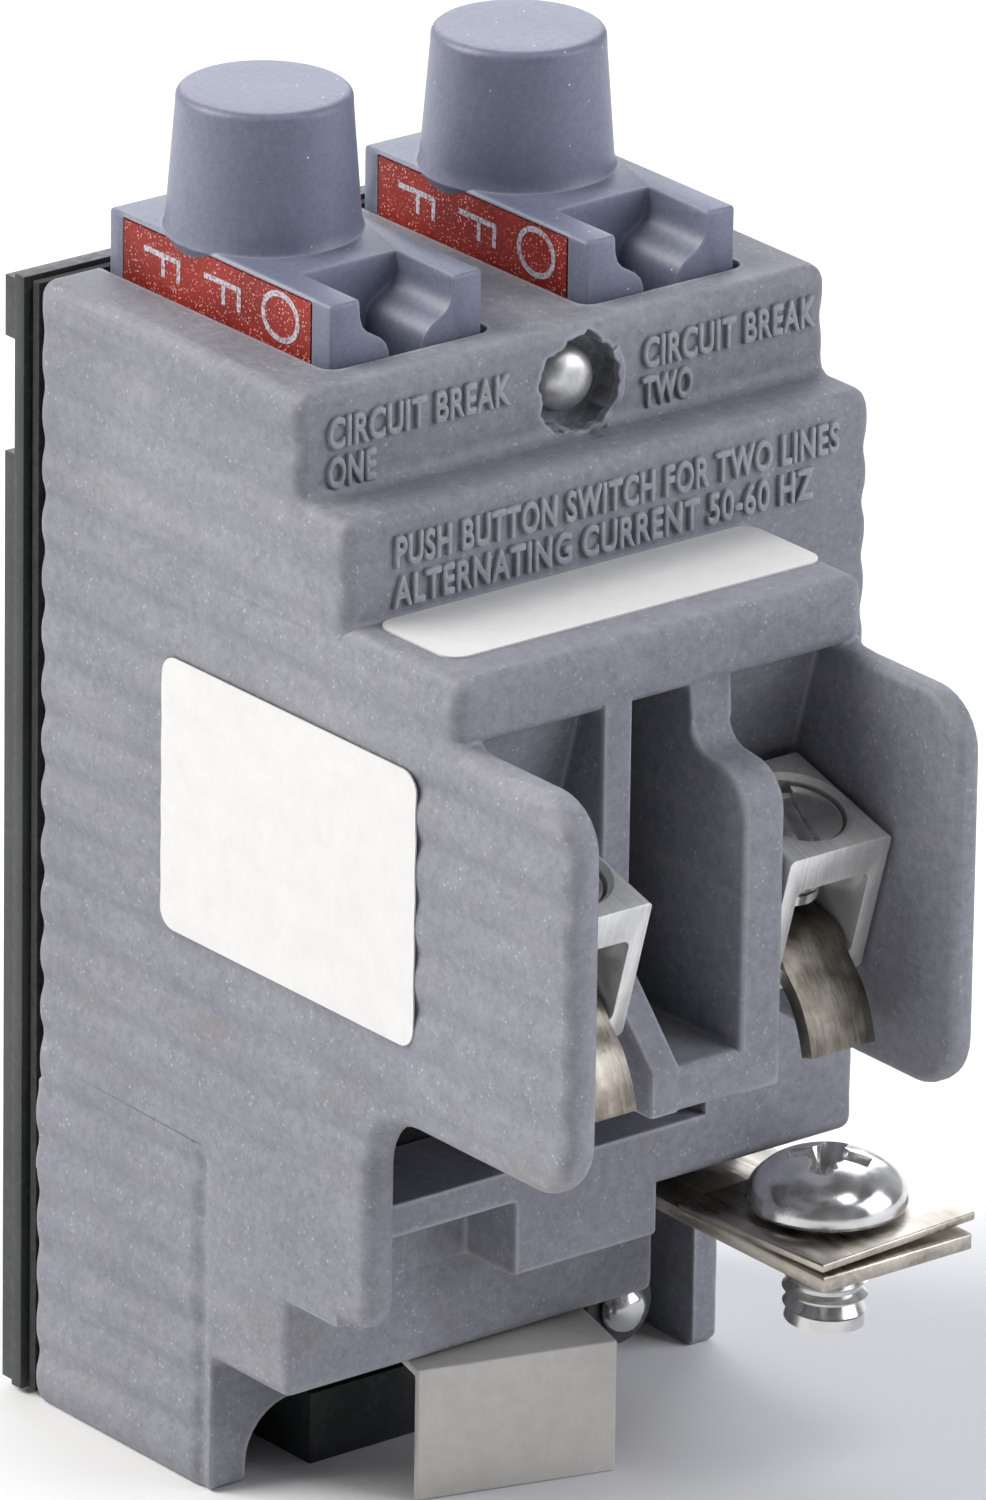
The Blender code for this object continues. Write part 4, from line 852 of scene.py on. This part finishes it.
HOLE_BACK = 0.00435
for pole, middle in lug_middle.items():
    lug = slab("extruded_lug_" + pole, die_cut(-3.65, 3.65, -9.2, 0.0, 0.35), 0, 8.7, "own")
    mouth = slab("mouth", die_cut(-2.6, 2.6, -8.0, -2.35, 0.55), -2, 11, "own")
    bore = bar("bore", 0.00303, 0.006, (0, HOLE_BACK, -0.0006))
    mouth_rim = bar("rim", 0.0029, 0.0009, (0, HOLE_BACK, 0.0), end_radius=0.0038)
    carve(lug, [mouth, bore, mouth_rim])
    round_over(lug, 0.11, 2, 50)
    lug.data.transform(lug_axes(middle))
    shade(lug)
    coat(lug, aluminium)
    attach(lug, "case")
    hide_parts("wire_lug_" + pole)

    screw = wound("set_screw_" + pole, 2.2, 4.3, 5, 0.34, zinc)
    head = bar("head", 0.00285, 0.0019, (0, 0, 0.0038))
    round_over(head, 0.16, 3)
    work = bmesh.new()
    bmesh.ops.create_cube(work, size=1.0)
    bmesh.ops.scale(work, vec=(0.008, 0.0013, 0.0026), verts=work.verts)
    bmesh.ops.rotate(work, matrix=Matrix.Rotation(math.radians(72), 3, "Z"), verts=work.verts)
    bmesh.ops.translate(work, vec=(0, 0, 0.0049), verts=work.verts)
    carve(head, [mesh_object("slot", work)])
    absorb(screw, head)
    screw.data.transform(lug_axes(middle) @ Matrix.Translation((0, HOLE_BACK, -0.0052)))
    shade(screw, 30)
    coat(screw, zinc)
    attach(screw, "lug_screw_" + pole)
    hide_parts("lug_screw_" + pole)

# ------------------------------------------------------------------ load straps
# Plated copper strip, sheared and bent by hand tools. The tongue that shows below each lug is
# rubbed dull brown-grey, with brighter marks where tools and wires wiped it.


def wiped_strip(name, roughness, stretch, marks, stains, ramp, first, most, pale, shine, bump):
    """Plated strip: stained in clouds, wiped paler along marks that also dull and raise it."""
    made, tree, shader, place = finish(name, roughness, 1.0)
    along = add(tree, "Mapping", {"Vector": place, "Scale": stretch})
    cells, detail, uneven = marks
    drawn = add(tree, "TexNoise",
                {"Vector": along, "Scale": cells * PER_MM, "Detail": detail, "Roughness": uneven})
    cloud = add(tree, "TexNoise", {"Vector": place, "Scale": stains * PER_MM, "Detail": 4.0})
    body = add(tree, "ValToRGB", {"Fac": cloud}, ramp)
    wiped = add(tree, "MapRange", {0: drawn, 1: first, 2: 0.75, 4: most})
    mixed = add(tree, "Mix", {0: wiped, 6: body, 7: pale}, data_type="RGBA")
    rough = add(tree, "MapRange", {0: drawn, 1: 0.3, 2: 0.7, 3: shine[0], 4: shine[1]})
    skin = add(tree, "Bump", {"Strength": bump[0], "Distance": bump[1], "Height": drawn})
    plug(shader, {"Base Color": mixed, "Roughness": rough, "Normal": skin})
    return made


# Nickel plate over copper, rubbed by a file and by wires: a dull brown-grey metal with brighter
# wiped marks along it. The marks are drawn 0.4 mm wide, coarser than real scratches.
tongue_metal = wiped_strip("rubbed_nickel_plate", 0.38, (1.0, 0.3, 0.12), (2.6, 4.0, 0.7), 0.6,
                           [(0.32, "#69635a"), (0.55, "#8b857a"), (0.75, "#a59f95")],
                           0.5, 0.3, "#cfcbc0", (0.36, 0.55), (0.4, 0.00012))
inner = tongue_line(17.3, 7.2)
knots = [(44.3, 31.2), (43.9, 32.6), (43.1, 34.2), (41.9, 35.5)]
knots += [tongue_line(back, 7.2) for back in (1.6, 4.5, 16.4)]
knots += [(inner[0] - back, inner[1] + rise) for back, rise in ((0.55, 0.75), (0.7, 1.6), (0.7, 4.4))]
centre_line = []
for i in range(len(knots) - 1):
    before, here, there, after = (Vector(knots[max(0, min(len(knots) - 1, i + k))]) for k in (-1, 0, 1, 2))
    for step in range(4):
        t = step / 4
        centre_line.append(0.5 * ((2 * here) + (there - before) * t
                                  + (2 * before - 5 * here + 4 * there - after) * t * t
                                  + (3 * here - before - 3 * there + after) * t ** 3))
centre_line.append(Vector(knots[-1]))
upper_edge, lower_edge = [], []
for i, here in enumerate(centre_line):
    along = (centre_line[min(i + 1, len(centre_line) - 1)] - centre_line[max(i - 1, 0)]).normalized()
    off = Vector((-along.y, along.x)) * 0.48
    upper_edge.append(tuple(here + off))
    lower_edge.append(tuple(here - off))
for pole, middle in lug_middle.items():
    strip = slab("load_tongue_" + pole, upper_edge + lower_edge[::-1], middle - 2.3, middle + 2.3)
    round_over(strip, 0.14, 2, 40)
    shade(strip)
    coat(strip, tongue_metal)
    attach(strip, "case")
    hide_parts("load_strap_" + pole)

# ------------------------------------------------------------------ line terminal
# A tin-plated copper strap comes out over the base with a thread drawn down under it. A square
# clamp plate, a little askew, and a bright pan-head screw wait for the panel's bus.

# Tin plate on rolled copper strip: a warm pale metal, satin along the rolling, stained in patches
# about 3 mm wide. The rolling marks are drawn 0.4 mm wide, coarser than real.
tin = wiped_strip("tin_plated_strip", 0.34, (1.0, 0.08, 1.0), (2.4, 3.0, 0.5), 0.35,
                  [(0.3, "#8f887b"), (0.7, "#cdc6ba")], 0.45, 0.5, "#ded9d0", (0.26, 0.46), (0.25, 0.0001))
stand_in("line_strap", "line_tab", "case", tin, 0.14, 2)
stand_in("line_clamp_plate", "clamp_square", "line_clamp_plate", tin, 0.1, 2)

terminal = (12.95, 33.6)
low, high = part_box("line_screw")
seat = 16.05
crown = high.z * 1000
dome = crown - seat - 0.55
head_profile = [(0, crown + 0.02)] + [(4.7 * math.sin(a), seat + 0.55 + dome * math.cos(a))
                                      for a in map(math.radians, range(10, 91, 8))]
head_profile += [(4.72, seat + 0.3), (4.6, seat + 0.08), (4.4, seat), (0, seat)]
pan = turned("pan_head", head_profile, *terminal, sides=72)
recess = []
for turn in (38, 128):
    work = bmesh.new()
    wide, deep = 2.75, 1.9
    top = [(-wide, -0.72), (wide, -0.72), (wide, 0.72), (-wide, 0.72)]
    foot = [(-1.1, -0.42), (1.1, -0.42), (1.1, 0.42), (-1.1, 0.42)]
    upper = [work.verts.new((u / 1000, v / 1000, 0.0006)) for u, v in top]
    middle_ring = [work.verts.new((u * 0.86 / 1000, v * 0.9 / 1000, -0.0009)) for u, v in top]
    lower = [work.verts.new((u / 1000, v / 1000, -deep / 1000 - 0.0006)) for u, v in foot]
    work.faces.new(upper)
    work.faces.new(lower[::-1])
    for one, two in ((upper, middle_ring), (middle_ring, lower)):
        for i in range(4):
            j = (i + 1) % 4
            work.faces.new((one[i], one[j], two[j], two[i]))
    bmesh.ops.recalc_face_normals(work, faces=work.faces)
    turned_up = Matrix.Translation(point(*terminal, crown)) @ Matrix.Rotation(math.radians(turn), 4, "Z")
    bmesh.ops.transform(work, matrix=turned_up, verts=work.verts)
    recess.append(mesh_object("wing", work))
recess.append(barrel("well", 1.5, (*terminal, crown + 0.5), (*terminal, crown - 1.7), 24, 0.75))
carve(pan, recess)
round_over(pan, 0.12, 2, 50)
shank = wound("pan_screw", 2.1, 7.2, 9, 0.42, zinc)
shank.data.transform(Matrix.Translation(point(*terminal, seat - 7.2)))
absorb(shank, pan)
shade(shank, 30)
coat(shank, zinc)
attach(shank, "line_screw")
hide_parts("line_screw")

# ------------------------------------------------------------------ rivets and fibre tab
# Two tubular steel rivets hold the cover on: one deep in the counterbore, one through the foot.
# The buff fibre tab is folded card that props the front of the lower block.

# Steel under tumbled zinc plate: a pale, half-matt metal with a peened grain 0.8 mm wide.
dull_zinc = grained("tumbled_zinc_plate", 0.42, 0.8, 1.2, [(0.3, "#b3b3b1"), (0.7, "#dadad8")], 4.0, bump=0.25)
RIVET_CURVE = ((0, 1.15), (0.35, 1.12), (0.62, 0.98), (0.85, 0.7), (0.97, 0.35), (1, 0.0), (0, 0.0))
for node, name, x, height, head, dome in (
        ("case_rivet_upper", "upper_rivet", RIVET_X, RIVET_Z, 22.85, 1.95),
        ("case_rivet_foot", "foot_rivet", 12.3, 3.4, 15.75, 1.5)):
    rivet = turned(name, [(share * dome, rise) for share, rise in RIVET_CURVE], 0, 0, 40)
    rivet.data.transform(Matrix.Translation(-point(0, 0, 0)))
    rivet.data.transform(Matrix.Translation(point(x, head, height)) @ Matrix.Rotation(math.pi / 2, 4, "X"))
    shank = barrel("rivet_shank", 1.15, (x, -3.0, height), (x, head + 0.3, height), 32)
    absorb(rivet, shank)
    shade(rivet)
    coat(rivet, dull_zinc if node == "case_rivet_upper" else zinc)
    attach(rivet, "case")
    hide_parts(node)

# Buff fibre card, rolled and folded: flat and warm, with pulp clouds drawn 1.1 mm wide.
buff = grained("buff_fibre_card", 0.75, 0.0, 0.9, [(0.25, "#c4c1bb"), (0.75, "#d2cec8")], 5.0, 0.7, 0.2)
stand_in("fibre_tab", "folded_card_tab", "case", buff, 0.12, 2)

# ------------------------------------------------------------------ works inside the case
# Frames, arms and trip parts keep their plain shapes; they show only when a part is taken out of
# the case, and are finished as the stamped steel, copper and silver they stand for.

# Cold-rolled steel, stamped: a smooth mid-grey shine, clouded in patches of 0.7 mm.
steel = grained("cold_rolled_steel", 0.36, 1.0, 1.5, [(0.3, "#8d8e90"), (0.7, "#b5b6b8")])
# Copper strip, stamped and left to tarnish: a brown-pink metal with darker clouds 1.1 mm wide.
copper = grained("dull_copper_strip", 0.4, 1.0, 0.9, [(0.3, "#8a5f48"), (0.7, "#b98467")])
# Silver contact alloy, pressed: the brightest metal here, faintly grained in cells of 0.6 mm.
silver = grained("silver_contact_alloy", 0.28, 1.0, 1.8, [(0.3, "#b9b8b2"), (0.7, "#dedcd6")])
works = {name: steel for name in ("return_spring", "mechanism_frame", "pivot_pin", "arc_chute", "bimetal",
                                  "magnet_yoke", "trip_latch", "latch_pin")}
works.update(contact_arm=copper, braid=copper, moving_contact=silver, fixed_contact=silver)
for name, metal in works.items():
    for pole in "ab":
        coat(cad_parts[name + "_" + pole], metal)

# The return springs are wound music wire, between the frame and the button's block.
wire = 0.00032
for pole in "ab":
    low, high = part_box("return_spring_" + pole)
    coil = mesh_object("wound_spring_" + pole, bmesh.new())
    run_nodes(coil, thread, Radius=(high.x - low.x) / 2 - wire, Length=high.z - low.z - 2.2 * wire,
              Turns=5.0, Ridge=wire, Sides=10, Finish=steel)
    centre = ((low.x + high.x) / 2, (low.y + high.y) / 2, low.z)
    coil.data.transform(Matrix.Translation((centre[0], centre[1], low.z + 1.1 * wire)))
    shade(coil, 60)
    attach(coil, "case")
    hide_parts("return_spring_" + pole)
    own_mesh(coil)

bpy.context.view_layer.update()
